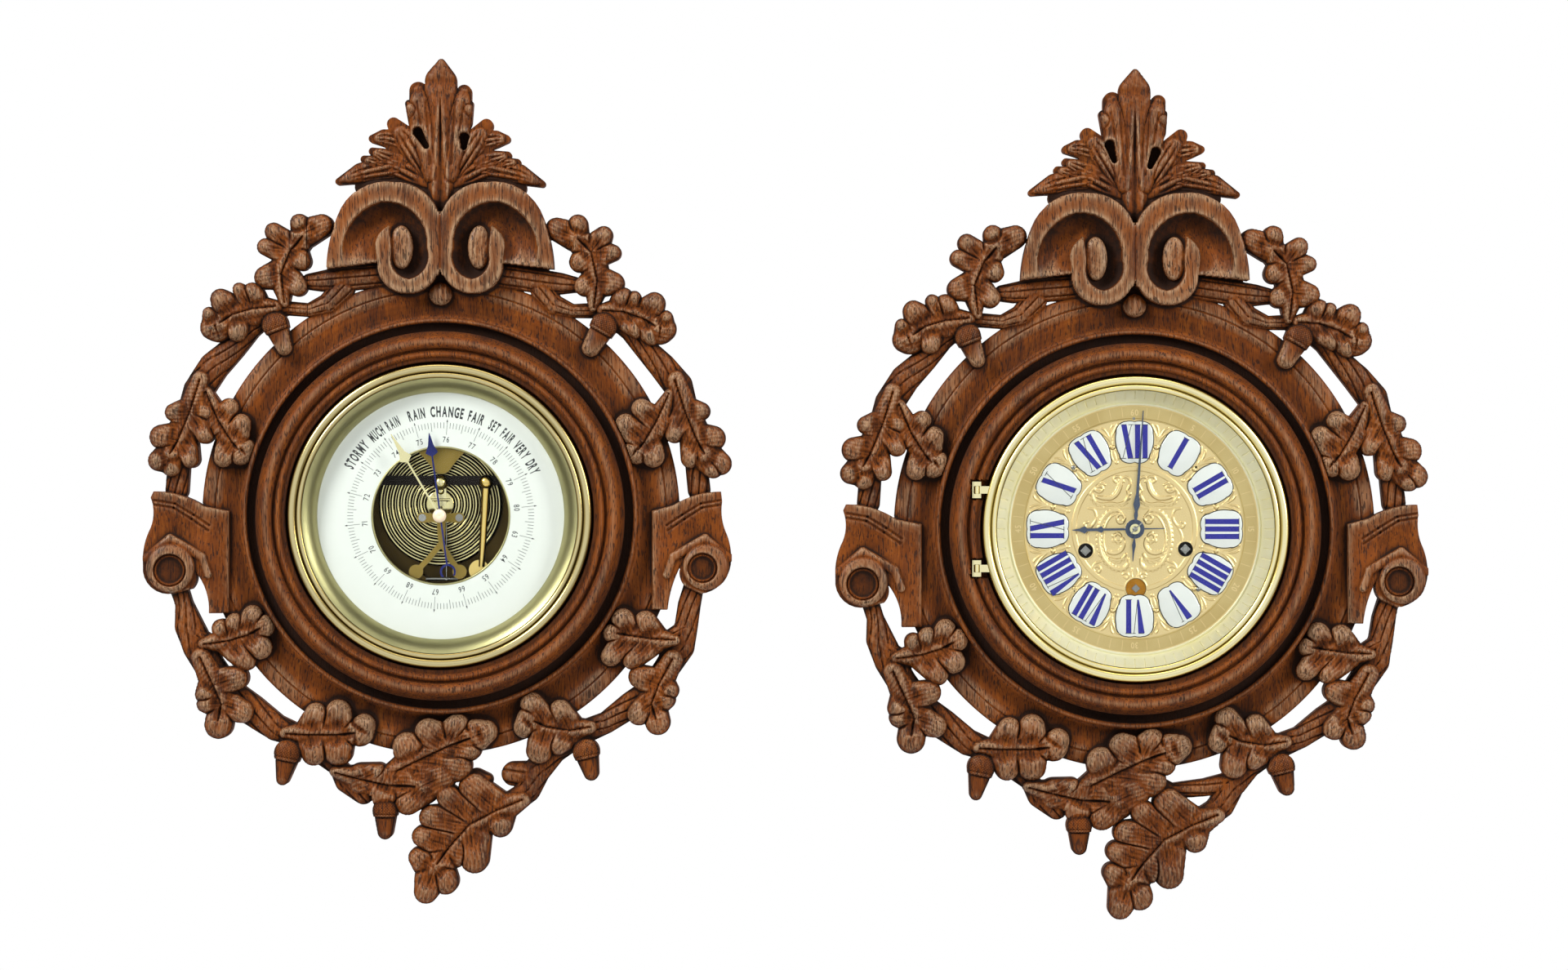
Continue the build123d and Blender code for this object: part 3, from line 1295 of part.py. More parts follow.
# Clock dial, with its feet on the front plate
dial_front = clock_ledge + dial_thickness
dial_screw_x = dial_screw_ring_radius * cos(radians(corner_turn))
back_inner = back_plate_height + plate_thickness
front_inner = front_plate_height
front_outer = front_plate_height + plate_thickness
pillar_x = plate_width / 2 - pillar_inset
pillar_z = plate_height / 2 - pillar_inset
with BuildPart() as clock_dial:
    post(clock, 0, 0, clock_ledge, dial_front, dial_radius)
    turned(clock, (border_radius - border_width / 2, dial_front), straight(
        (border_radius - border_width / 4, dial_front + border_rise),
        (border_radius + border_width / 4, dial_front + border_rise),
        (border_radius + border_width / 2, dial_front),
    ))
    for x in (-pillar_x, pillar_x):
        for z in (-pillar_z, pillar_z):
            post(clock, x, z, front_outer, clock_ledge, dial_foot_radius)
    dial_cut_top = dial_front + border_rise + cut_overrun
    post(clock, 0, 0, clock_ledge - cut_overrun, dial_cut_top, centre_hole_radius, mode=Mode.SUBTRACT)
    for x, z in ((left_winding_x, left_winding_z), (right_winding_x, right_winding_z)):
        post(clock, x, z, clock_ledge - cut_overrun, dial_cut_top, winding_hole_radius, mode=Mode.SUBTRACT)
    post(clock, regulator_x, regulator_z, clock_ledge - cut_overrun, dial_cut_top, regulator_hole_radius,
         mode=Mode.SUBTRACT)
    for side in (-1, 1):
        post(clock, side * dial_screw_x, side * dial_screw_x, clock_ledge - cut_overrun, dial_cut_top,
             dial_screw_radius, mode=Mode.SUBTRACT)
keep("clock_dial", clock_dial)

with BuildPart() as clock_hour_cartouches:
    cartouche_middle = (cartouche_inner_radius + cartouche_outer_radius) / 2
    cartouche_length = cartouche_outer_radius - cartouche_inner_radius
    with BuildSketch(dial_plane(clock, dial_front)) as cartouches:
        with PolarLocations(cartouche_middle, cartouche_count):
            with BuildSketch(mode=Mode.PRIVATE) as cartouche:
                with BuildLine():
                    Polyline(
                        (-cartouche_length / 2, -cartouche_foot_width / 2),
                        (cartouche_length / 4, -cartouche_width / 2),
                        (cartouche_length / 2, -cartouche_width / 2 + cartouche_corner_radius / 4),
                        (cartouche_length / 2, cartouche_width / 2 - cartouche_corner_radius / 4),
                        (cartouche_length / 4, cartouche_width / 2),
                        (-cartouche_length / 2, cartouche_foot_width / 2),
                        close=True,
                    )
                make_face()
                fillet(cartouche.vertices(), cartouche_corner_radius)
            add(cartouche.sketch)
    extrude(amount=cartouche_thickness)
    post(clock, regulator_x, regulator_z, clock_ledge, dial_front + 2 * cartouche_thickness,
         regulator_hole_radius,
         mode=Mode.SUBTRACT)
keep("clock_hour_cartouches", clock_hour_cartouches)

# Clock plates
arbor_places = ((0, 0), (third_x, third_z), (0, escape_z), (0, anchor_z), (strike_x, strike_z),
                (hammer_x, hammer_z))
winding_places = ((left_winding_x, left_winding_z), (right_winding_x, right_winding_z))


def movement_plate(low):
    with BuildSketch(dial_plane(clock, low)) as outline:
        RectangleRounded(plate_width, plate_height, plate_corner_radius)
        with Locations(*arbor_places):
            Circle(pivot_radius + running_clearance, mode=Mode.SUBTRACT)
        with Locations(*winding_places):
            Circle(winding_arbor_radius + running_clearance, mode=Mode.SUBTRACT)
    extrude(outline.sketch, amount=plate_thickness)


with BuildPart() as clock_back_plate:
    movement_plate(back_plate_height)
    for x in (-pillar_x, pillar_x):
        for z in (-pillar_z, pillar_z):
            post(clock, x, z, back_inner, front_inner, pillar_radius)
    # the cock that holds the pendulum's suspension
    cock_middle_z = anchor_z + suspension_rise + flat_gap + cock_rise / 2
    block(clock, 0, cock_middle_z, pendulum_height - cock_width / 2, back_plate_height, cock_width, cock_rise)
keep("clock_back_plate", clock_back_plate)

with BuildPart() as clock_front_plate:
    movement_plate(front_plate_height)
    post(clock, -motion_spread, motion_spread, front_outer, motion_height + hour_wheel_step + wheel_thickness,
         pivot_radius)
    post(clock, regulator_x, regulator_z, front_inner - cut_overrun, front_outer + cut_overrun,
         pivot_radius + running_clearance, mode=Mode.SUBTRACT)
keep("clock_front_plate", clock_front_plate)


def train_arbor(x, z):
    """An arbor with its pivots in both plates."""
    post(clock, x, z, back_inner + flat_gap, front_inner - flat_gap, arbor_radius)
    post(clock, x, z, back_plate_height, front_outer, pivot_radius)


def barrel(x, z, low, wheel_low, wheel_radius):
    """A spring barrel with its great wheel."""
    high = low + barrel_length
    middle = (low + high) / 2
    post(clock, x, z, low, high, barrel_radius)
    toothed_disc(clock, x, z, wheel_low, wheel_low + great_wheel_thickness, wheel_radius, tooth_depth,
                 great_wheel_teeth)
    post(clock, x, z, min(low, wheel_low), max(high, wheel_low + great_wheel_thickness),
         2 * winding_arbor_radius)
    turned(clock, (barrel_radius + cut_overrun, middle - barrel_cap_thickness), straight(
        (barrel_radius - barrel_groove_depth, middle - barrel_cap_thickness),
        (barrel_radius - barrel_groove_depth, middle + barrel_cap_thickness),
        (barrel_radius + cut_overrun, middle + barrel_cap_thickness),
    ), x, z, mode=Mode.SUBTRACT)
    post(clock, x, z, 0, clock.back, winding_arbor_radius + running_clearance, mode=Mode.SUBTRACT)


def winding_arbor(x, z):
    post(clock, x, z, back_plate_height, front_outer + cut_overrun, winding_arbor_radius)
    block(clock, x, z, front_outer, clock_ledge, winding_square, winding_square, turn=corner_turn)


time_great_radius = hypot(right_winding_x, right_winding_z) - centre_pinion_radius - mesh_gap
with BuildPart() as clock_time_barrel:
    barrel(right_winding_x, right_winding_z, time_great_height + great_wheel_thickness, time_great_height,
           time_great_radius)
keep("clock_time_barrel", clock_time_barrel)

strike_great_radius = (hypot(left_winding_x - strike_x, left_winding_z - strike_z)
                       - strike_pinion_radius - mesh_gap)
with BuildPart() as clock_strike_barrel:
    barrel(left_winding_x, left_winding_z, strike_great_height - barrel_length, strike_great_height,
           strike_great_radius)
keep("clock_strike_barrel", clock_strike_barrel)

with BuildPart() as clock_time_winding_arbor:
    winding_arbor(right_winding_x, right_winding_z)
keep("clock_time_winding_arbor", clock_time_winding_arbor)

with BuildPart() as clock_strike_winding_arbor:
    winding_arbor(left_winding_x, left_winding_z)
keep("clock_strike_winding_arbor", clock_strike_winding_arbor)

# Going train
with BuildPart() as clock_centre_wheel:
    train_arbor(0, 0)
    post(clock, 0, 0, front_outer, minute_hand_height, pivot_radius)
    toothed_disc(clock, 0, 0, time_great_height - wheel_thickness,
                 time_great_height + 2 * great_wheel_thickness,
                 centre_pinion_radius, tooth_depth, centre_pinion_teeth)
    toothed_disc(clock, 0, 0, centre_wheel_height, centre_wheel_height + wheel_thickness, centre_wheel_radius,
                 fine_tooth_depth, centre_wheel_teeth)
    crossings(clock, 0, 0, centre_wheel_height, centre_wheel_height + wheel_thickness,
              centre_wheel_radius - wheel_rim, 2 * arbor_radius)
keep("clock_centre_wheel", clock_centre_wheel)

with BuildPart() as clock_third_wheel:
    train_arbor(third_x, third_z)
    toothed_disc(clock, third_x, third_z, centre_wheel_height - wheel_thickness,
                 centre_wheel_height + 2 * wheel_thickness, third_pinion_radius, fine_tooth_depth / 2,
                 third_pinion_teeth)
    toothed_disc(clock, third_x, third_z, third_wheel_height, third_wheel_height + wheel_thickness,
                 third_wheel_radius,
                 fine_tooth_depth, third_wheel_teeth)
    crossings(clock, third_x, third_z, third_wheel_height, third_wheel_height + wheel_thickness,
              third_wheel_radius - wheel_rim, 2 * arbor_radius)
keep("clock_third_wheel", clock_third_wheel)

with BuildPart() as clock_escape_wheel:
    post(clock, 0, escape_z, third_wheel_height + 2 * wheel_thickness, front_inner - flat_gap, arbor_radius)
    post(clock, 0, escape_z, back_plate_height, front_outer, escape_pinion_radius - fine_tooth_depth / 4)
    toothed_disc(clock, 0, escape_z, back_inner + flat_gap, third_wheel_height + 2 * wheel_thickness,
                 escape_pinion_radius, fine_tooth_depth / 4, escape_pinion_teeth)
    toothed_disc(clock, 0, escape_z, escape_wheel_height, escape_wheel_height + wheel_thickness,
                 escape_wheel_radius,
                 2 * fine_tooth_depth, escape_wheel_teeth)
    crossings(clock, 0, escape_z, escape_wheel_height, escape_wheel_height + wheel_thickness,
              escape_wheel_radius - wheel_rim, 2 * arbor_radius)
keep("clock_escape_wheel", clock_escape_wheel)

with BuildPart() as clock_anchor:
    post(clock, 0, anchor_z, crutch_height, front_outer, pivot_radius)
    post(clock, 0, anchor_z, back_inner + flat_gap, front_inner - flat_gap, arbor_radius)
    anchor_limbs = []
    for side in (-1, 1):
        shoulder = (side * anchor_shoulder_x, anchor_shoulder_z, anchor_band / 2)
        tip = (side * anchor_tip_x, anchor_tip_z, anchor_band / 4)
        anchor_limbs.append(limb((0, anchor_z, 2 * arbor_radius), shoulder))
        anchor_limbs.append(limb(shoulder, tip))
    band_piece(clock, anchor_limbs, escape_wheel_height, escape_wheel_height + wheel_thickness)
    band_piece(clock, [limb((0, anchor_z, crutch_width / 2), (0, anchor_z - crutch_length, crutch_width))],
               crutch_height, crutch_height + crutch_thickness)
    for side in (-1, 1):
        post(clock, side * (pendulum_rod_radius + flat_gap + pin_radius / 2), anchor_z - crutch_length,
             pendulum_height, crutch_height + crutch_thickness, pin_radius / 2)
keep("clock_anchor", clock_anchor)

with BuildPart() as clock_pendulum:
    bob_z = anchor_z - pendulum_drop
    rod_foot_z = bob_z - bob_radius - rating_nut_height
    upright_bar(clock, 0, rod_foot_z, anchor_z - suspension_rise, pendulum_height, pendulum_rod_radius)
    upright_bar(clock, 0, rod_foot_z, rod_foot_z + rating_nut_height, pendulum_height, rating_nut_radius)
    block(clock, 0, anchor_z, pendulum_height - suspension_thickness / 2,
          pendulum_height + suspension_thickness / 2,
          suspension_width, 2 * suspension_rise)
    rim = bob_thickness / 6
    turned(clock, (0, pendulum_height - bob_thickness / 2), straight(
        (bob_radius / 3, pendulum_height - bob_thickness / 2),
        (bob_radius, pendulum_height - rim),
        (bob_radius, pendulum_height + rim),
        (bob_radius / 3, pendulum_height + bob_thickness / 2),
        (0, pendulum_height + bob_thickness / 2),
    ), 0, bob_z)
keep("clock_pendulum", clock_pendulum)

# Motion work
with BuildPart() as clock_cannon_pinion:
    cannon_foot = front_outer + flat_gap
    toothed_disc(clock, 0, 0, cannon_foot, motion_height + wheel_thickness + flat_gap, cannon_pinion_radius,
                 tooth_depth, cannon_pinion_teeth)
    post(clock, 0, 0, cannon_foot, minute_hand_height, cannon_radius)
    post(clock, 0, 0, cannon_foot - cut_overrun, minute_hand_height + cut_overrun, pivot_radius,
         mode=Mode.SUBTRACT)
keep("clock_cannon_pinion", clock_cannon_pinion)

with BuildPart() as clock_minute_wheel:
    toothed_disc(clock, -motion_spread, motion_spread, motion_height, motion_height + wheel_thickness,
                 minute_wheel_radius, tooth_depth, minute_wheel_teeth)
    toothed_disc(clock, -motion_spread, motion_spread, motion_height + wheel_thickness,
                 motion_height + hour_wheel_step + wheel_thickness + flat_gap, minute_pinion_radius,
                 tooth_depth,
                 minute_pinion_teeth)
    post(clock, -motion_spread, motion_spread, motion_height - cut_overrun,
         motion_height + 2 * hour_wheel_step + wheel_thickness, pivot_radius + running_clearance,
         mode=Mode.SUBTRACT)
keep("clock_minute_wheel", clock_minute_wheel)

with BuildPart() as clock_hour_wheel:
    hour_wheel_low = motion_height + hour_wheel_step
    toothed_disc(clock, 0, 0, hour_wheel_low, hour_wheel_low + wheel_thickness, hour_wheel_radius,
                 tooth_depth,
                 hour_wheel_teeth)
    post(clock, 0, 0, hour_wheel_low, hour_hand_height, hour_pipe_radius)
    post(clock, 0, 0, hour_wheel_low - cut_overrun, hour_hand_height + cut_overrun,
         cannon_radius + running_clearance,
         mode=Mode.SUBTRACT)
keep("clock_hour_wheel", clock_hour_wheel)

# Striking train
with BuildPart() as clock_strike_wheel:
    train_arbor(strike_x, strike_z)
    toothed_disc(clock, strike_x, strike_z, strike_great_height - wheel_thickness,
                 strike_great_height + great_wheel_thickness + wheel_thickness, strike_pinion_radius,
                 tooth_depth,
                 strike_pinion_teeth)
    post(clock, strike_x, strike_z, pin_wheel_height, pin_wheel_height + wheel_thickness, pin_wheel_radius)
    crossings(clock, strike_x, strike_z, pin_wheel_height, pin_wheel_height + wheel_thickness,
              pin_wheel_radius - 2 * wheel_rim, 2 * arbor_radius)
    for index in range(pin_wheel_pins):
        angle = pi * (2 * index + 1) / pin_wheel_pins
        post(clock, strike_x + (pin_wheel_radius - wheel_rim) * cos(angle),
             strike_z + (pin_wheel_radius - wheel_rim) * sin(angle),
             pin_wheel_height - pin_length, pin_wheel_height, pin_radius)
keep("clock_strike_wheel", clock_strike_wheel)

with BuildPart() as clock_hammer:
    train_arbor(hammer_x, hammer_z)
    arm_low = hammer_height - wheel_thickness / 2
    arbor_round = (hammer_x, hammer_z, 2 * arbor_radius)
    band_piece(clock, [limb(arbor_round, (hammer_head_x, hammer_head_z, pivot_radius))], arm_low,
               arm_low + wheel_thickness)
    post(clock, hammer_head_x, hammer_head_z, hammer_height - hammer_head_length / 2,
         hammer_height + hammer_head_length / 2, hammer_head_radius)
    # the tail, just outside the path of the pins
    band_piece(clock, [limb(arbor_round, (hammer_tail_x, hammer_tail_z, crutch_width / 2))],
               hammer_tail_height,
               hammer_tail_height + crutch_thickness)
keep("clock_hammer", clock_hammer)

bell_crown = bell_height + bell_depth
with BuildPart() as clock_bell:
    inner_radius = bell_radius - bell_wall
    shoulder = radians(corner_turn)
    turned(clock, (bell_radius, bell_height), [
        ((bell_radius * cos(shoulder), bell_height + bell_depth * sin(shoulder)),
         (bell_stud_radius, bell_crown)),
        (None, (bell_stud_radius, bell_crown - bell_wall)),
        ((inner_radius * cos(shoulder), bell_height + (bell_depth - bell_wall) * sin(shoulder)),
         (inner_radius, bell_height)),
    ], bell_x, bell_z)
    # the stand that carries it from the case's wall
    stand_top_z = bell_z + bell_stand_width / 2
    with BuildSketch(dial_plane(clock, bell_crown)):
        with Locations((bell_x, (stand_top_z - case_bore) / 2)):
            Rectangle(bell_stand_width, stand_top_z + case_bore)
        Circle(case_bore - flat_gap, mode=Mode.INTERSECT)
    extrude(amount=bell_stand_thickness)
    post(clock, bell_x, bell_z, bell_crown - 2 * bell_wall, bell_crown, bell_stud_radius)
keep("clock_bell", clock_bell)

# Regulating square
with BuildPart() as clock_regulator:
    disc_low = clock_ledge - regulator_disc_thickness
    post(clock, regulator_x, regulator_z, front_inner, front_outer + flat_gap, pivot_radius)
    post(clock, regulator_x, regulator_z, front_outer + flat_gap, disc_low, regulator_arbor_radius)
    post(clock, regulator_x, regulator_z, disc_low, clock_ledge, regulator_disc_radius)
    block(clock, regulator_x, regulator_z, clock_ledge, dial_front, regulator_square, regulator_square,
          turn=corner_turn)
keep("clock_regulator", clock_regulator)

# Clock hands
with BuildPart() as clock_hour_hand:
    with BuildSketch(dial_plane(clock, hour_hand_height - hand_thickness)):
        Circle(hand_hub_radius)
        add(hand_face(hour_hand_reach, hour_hand_heading, hour_blade_shares))
        add(hand_face(hour_tail_reach, hour_hand_heading + 180, hour_tail_shares))
        Circle(hour_pipe_radius, mode=Mode.SUBTRACT)
    extrude(amount=hand_thickness)
keep("clock_hour_hand", clock_hour_hand)

with BuildPart() as clock_minute_hand:
    with BuildSketch(dial_plane(clock, minute_hand_height - hand_thickness)):
        Circle(hand_ring_radius)
        add(hand_face(minute_hand_reach, minute_hand_heading, minute_blade_shares))
        add(hand_face(minute_tail_reach, minute_hand_heading + 180, minute_tail_shares))
        Circle(cannon_radius, mode=Mode.SUBTRACT)
    extrude(amount=hand_thickness)
keep("clock_minute_hand", clock_minute_hand)

with BuildPart() as clock_hand_collet:
    post(clock, 0, 0, minute_hand_height, minute_hand_height + hand_collet_thickness,
         hand_ring_radius - hand_thickness)
keep("clock_hand_collet", clock_hand_collet)
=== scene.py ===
import bpy
import numpy as np
from collections import namedtuple
from math import atan2, cos, hypot, pi, radians, sin, sqrt
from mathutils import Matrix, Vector
from mathutils.geometry import tessellate_polygon


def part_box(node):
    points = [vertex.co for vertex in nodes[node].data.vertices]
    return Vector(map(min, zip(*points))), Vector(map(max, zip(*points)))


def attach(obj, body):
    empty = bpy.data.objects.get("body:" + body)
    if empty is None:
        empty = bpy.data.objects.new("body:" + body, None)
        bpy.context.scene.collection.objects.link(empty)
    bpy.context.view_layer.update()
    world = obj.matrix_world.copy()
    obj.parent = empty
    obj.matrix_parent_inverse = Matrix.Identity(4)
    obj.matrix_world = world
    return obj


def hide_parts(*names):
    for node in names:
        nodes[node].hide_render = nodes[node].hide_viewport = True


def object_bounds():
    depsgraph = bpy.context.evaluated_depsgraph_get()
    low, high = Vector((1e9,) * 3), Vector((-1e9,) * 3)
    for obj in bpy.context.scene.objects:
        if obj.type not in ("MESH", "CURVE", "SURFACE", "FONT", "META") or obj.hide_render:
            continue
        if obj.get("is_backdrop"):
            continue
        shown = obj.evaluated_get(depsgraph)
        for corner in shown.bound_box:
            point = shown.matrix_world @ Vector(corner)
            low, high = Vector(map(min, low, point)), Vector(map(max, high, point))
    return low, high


# Looks of a matched pair of carved oak wall cases. Sizes are in millimetres until a mesh is made.
# Heights, called w, are off the wall, and places are from a dial's centre.

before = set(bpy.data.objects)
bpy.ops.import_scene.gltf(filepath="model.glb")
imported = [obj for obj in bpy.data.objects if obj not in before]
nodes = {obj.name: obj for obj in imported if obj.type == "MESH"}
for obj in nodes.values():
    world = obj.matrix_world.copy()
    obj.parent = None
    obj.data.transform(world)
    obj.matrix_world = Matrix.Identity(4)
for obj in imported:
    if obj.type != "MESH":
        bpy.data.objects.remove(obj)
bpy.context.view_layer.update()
Unit = namedtuple("Unit", "name x z back")
clock = Unit("clock", 0.0, -112.0, 62.0)
barometer = Unit("barometer", -512.4, -102.4, 34.0)
# The fronts of the two dials' ledges
CLOCK_LEDGE = 76.0
BAROMETER_LEDGE = 48.0
# The panel's radius, the glue lines' places across, and the grid of the carving
PANEL = 174.0
SPLIT = 98.4
GRID = 0.6
# Distances that stand for nothing near, and the edge of an empty grid
FAR = 99.0
EMPTY = 90.0
# The turned ring: the inner edge of its seat, its outside, and the highest carving under it
RING_SEAT = 140.5
RING_OUTSIDE = 147.0
RING_SEAT_HEIGHT = 14.6
# The keyholes and the regulator's hole of the clock's dial
STRIKE_HOLE, TIME_HOLE, REGULATOR_HOLE = (-36, -16), (37.5, -14.8), (1, -43.8)
KEYHOLE_RADIUS = 5.5
HOUR = 30


# Materials

def new_material(name):
    material = bpy.data.materials.new(name)
    material.use_nodes = True
    tree = material.node_tree
    shader = tree.nodes["Principled BSDF"]
    return material, tree, shader


def node(tree, kind, inputs=None, **settings):
    made = tree.nodes.new(kind)
    for key, value in settings.items():
        setattr(made, key, value)
    for key, value in (inputs or {}).items():
        if isinstance(value, bpy.types.NodeSocket):
            tree.links.new(value, made.inputs[key])
        else:
            made.inputs[key].default_value = value
    return made


def math(tree, operation, a, b=0.0):
    return node(tree, "ShaderNodeMath", {0: a, 1: b}, operation=operation).outputs[0]


def ramp(tree, factor, *stops):
    made = node(tree, "ShaderNodeValToRGB", {"Fac": factor})
    band = made.color_ramp
    while len(band.elements) < len(stops):
        band.elements.new(0.5)
    for element, (place, colour) in zip(band.elements, stops):
        element.position = place
        element.color = colour if len(colour) == 4 else (*colour, 1)
    return made.outputs[0]


def rising(tree, factor, low, high):
    """From black at one place to white at the other."""
    return ramp(tree, factor, (low, (0, 0, 0)), (high, (1, 1, 1)))


def falling(tree, factor, low, high):
    return ramp(tree, factor, (low, (1, 1, 1)), (high, (0, 0, 0)))


def mix(tree, factor, a, b):
    made = node(tree, "ShaderNodeMix", {0: factor, 6: a, 7: b}, data_type="RGBA")
    return made.outputs[2]


def hexa(code):
    """A colour written as in a paint program, as Blender's linear values."""
    values = [int(code[i:i + 2], 16) / 255 for i in (0, 2, 4)]
    return tuple(v / 12.92 if v <= 0.04045 else ((v + 0.055) / 1.055) ** 2.4 for v in values) + (1,)


def stretched(tree, x, y, z):
    """The piece's own coordinates in metres, stretched for a texture."""
    place = node(tree, "ShaderNodeTexCoord").outputs["Object"]
    return node(tree, "ShaderNodeMapping", {"Vector": place, "Scale": (x, y, z)}).outputs[0]


def noise(tree, vector, scale, detail, roughness=0.6):
    return node(tree, "ShaderNodeTexNoise", {"Vector": vector, "Scale": scale, "Detail": detail,
                                             "Roughness": roughness}).outputs[0]


def oak(name, relief, dark=0.0):
    """Waxed brown oak with upright grain. With relief, painted shade in the hollows and a painted sheen on the worn
    tops follow the carving.
    """
    material, tree, shader = new_material(name)
    place = stretched(tree, 1, 1, 1)
    bent = noise(tree, stretched(tree, 9, 9, 2.2), 1.0, 2.0)
    shift = node(tree, "ShaderNodeVectorMath", {0: place, 1: node(tree, "ShaderNodeCombineXYZ", {
        0: math(tree, "MULTIPLY", bent, 0.05)}).outputs[0]}, operation="ADD").outputs[0]
    rings = node(tree, "ShaderNodeMapping", {"Vector": shift, "Scale": (150, 110, 9)}).outputs[0]
    growth = noise(tree, rings, 1.0, 3.0, 0.55)
    streaks = node(tree, "ShaderNodeMapping", {"Vector": shift, "Scale": (900, 700, 40)}).outputs[0]
    fine = noise(tree, streaks, 1.0, 3.0, 0.6)
    dashes = node(tree, "ShaderNodeMapping", {"Vector": shift, "Scale": (1150, 900, 150)}).outputs[0]
    pores = noise(tree, dashes, 1.0, 1.0, 0.4)
    pore = rising(tree, pores, 0.575, 0.64)
    cloudy = noise(tree, place, 26.0, 3.0, 0.6)
    tone = math(tree, "ADD", math(tree, "MULTIPLY", growth, 0.55), math(tree, "MULTIPLY", fine, 0.45))
    base = ramp(tree, tone, (0.30, hexa("2E1302")), (0.46, hexa("522502")), (0.60, hexa("703908")),
                (0.76, hexa("8A5018")))
    amber = math(tree, "MULTIPLY", rising(tree, cloudy, 0.40, 0.66), 0.5)
    base = mix(tree, amber, base, hexa("7E3E04"))
    if relief:
        height = node(tree, "ShaderNodeAttribute", attribute_name="relief").outputs["Fac"]
        # worn tops with a painted sheen: greyish tan where the relief attribute is high
        worn_and_sheen = math(tree, "MULTIPLY", rising(tree, height, 0.53, 0.84),
                    ramp(tree, fine, (0.38, (0.25, 0.25, 0.25)), (0.60, (1, 1, 1))))
        base = mix(tree, math(tree, "MULTIPLY", worn_and_sheen, 0.70), base, hexa("A48768"))
        # painted shade: near black where the relief attribute is low, in the hollows
        hollow = falling(tree, height, 0.16, 0.47)
        base = mix(tree, math(tree, "MULTIPLY", hollow, 0.94), base, hexa("160903"))
    base = mix(tree, math(tree, "MULTIPLY", pore, 0.78), base, hexa("1E0E06"))
    if dark:
        base = mix(tree, dark, base, hexa("1A0C05"))
    tree.links.new(base, shader.inputs["Base Color"])
    rough = math(tree, "ADD", math(tree, "MULTIPLY", fine, 0.22), 0.24)
    if relief:
        dulled = ramp(tree, height, (0.36, (0.5, 0.5, 0.5)), (0.72, (0, 0, 0)))
        rough = math(tree, "ADD", rough, dulled)
    tree.links.new(rough, shader.inputs["Roughness"])
    shader.inputs["Specular IOR Level"].default_value = 0.17
    bump = math(tree, "SUBTRACT", math(tree, "MULTIPLY", fine, 0.5), pore)
    made = node(tree, "ShaderNodeBump", {"Height": bump, "Strength": 0.6, "Distance": 0.0004})
    tree.links.new(made.outputs[0], shader.inputs["Normal"])
    return material


def metal(name, colour, tint, roughness, blotch=30.0, grain=0.0, steep_shade="", pale="", metallic=1.0):
    """Lacquered or worn metal: a slow change of tint, a painted pale highlight on flat faces, painted dark reflection
    on sides.
    """
    material, tree, shader = new_material(name)
    place = stretched(tree, 1, 1, 1)
    slow = noise(tree, place, blotch, 3.0, 0.6)
    fine = noise(tree, place, 1800.0, 2.0, 0.5)
    base = mix(tree, rising(tree, slow, 0.35, 0.7), hexa(colour), hexa(tint))
    # painted light: flat faces toward front and back get a pale painted highlight, sides turned away a darker painted
    # reflection
    away = node(tree, "ShaderNodeSeparateXYZ", {0: node(tree, "ShaderNodeTexCoord").outputs["Normal"]}).outputs[1]
    turned = math(tree, "SUBTRACT", 1.0, math(tree, "ABSOLUTE", away))
    if pale:
        base = mix(tree, falling(tree, turned, 0.02, 0.14), base, hexa(pale))
    if steep_shade:
        base = mix(tree, rising(tree, turned, 0.16, 0.55), base, hexa(steep_shade))
    tree.links.new(base, shader.inputs["Base Color"])
    shader.inputs["Metallic"].default_value = metallic
    rough = math(tree, "ADD", math(tree, "MULTIPLY", slow, 0.15), roughness - 0.07)
    tree.links.new(rough, shader.inputs["Roughness"])
    if grain:
        made = node(tree, "ShaderNodeBump", {"Height": fine, "Strength": grain, "Distance": 0.0002})
        tree.links.new(made.outputs[0], shader.inputs["Normal"])
    return material


def painted(name, colour, tint, roughness, coat=0.0):
    """Card, enamel or paint with a faint mottle."""
    material, tree, shader = new_material(name)
    slow = noise(tree, stretched(tree, 1, 1, 1), 60.0, 4.0)
    tree.links.new(mix(tree, slow, hexa(colour), hexa(tint)), shader.inputs["Base Color"])
    tree.links.new(math(tree, "ADD", math(tree, "MULTIPLY", slow, 0.1), roughness - 0.05), shader.inputs["Roughness"])
    shader.inputs["Coat Weight"].default_value = coat
    return material


def clear_glass(name):
    material, tree, shader = new_material(name)
    tree.nodes.remove(shader)
    clear = node(tree, "ShaderNodeBsdfTransparent", {"Color": (0.985, 0.995, 0.985, 1)})
    shine = node(tree, "ShaderNodeBsdfGlossy", {"Roughness": 0.02})
    facing = node(tree, "ShaderNodeLayerWeight", {"Blend": 0.12}).outputs["Fresnel"]
    joined = node(tree, "ShaderNodeMixShader", {0: facing, 1: clear.outputs[0], 2: shine.outputs[0]})
    tree.links.new(joined.outputs[0], tree.nodes["Material Output"].inputs["Surface"])
    return material


OAK = oak("carved_oak_wax", True)
TURNED = oak("turned_oak_wax", True)
CASE_OAK = oak("case_oak_plain", False, 0.15)
BRASS = metal("brass_polished", "C8B56C", "B5A058", 0.20, steep_shade="5E4F20", pale="EDE4B4")
BRASS_DULL = metal("brass_lacquer", "9C8446", "837033", 0.33, steep_shade="4A3C1C")
BRASS_RIM = metal("brass_rim_satin", "B4AC7C", "A29C70", 0.36)
STEEL = metal("steel_bright", "A9A9A6", "8F8E8C", 0.28)
DARK_STEEL = metal("steel_dark", "2A2624", "1C1917", 0.45)
BLUED = metal("steel_blued", "30346E", "3A3F84", 0.30)
CARD = painted("dial_card_white", "F9FCF8", "F2F6F1", 0.5)
ENAMEL = painted("enamel_white", "F3F5F3", "E6EAEA", 0.16, coat=0.6)
INK = painted("ink_grey", "26282A", "3A3D3F", 0.6)
INK_LIGHT = painted("ink_pale", "3A3E40", "303436", 0.6)
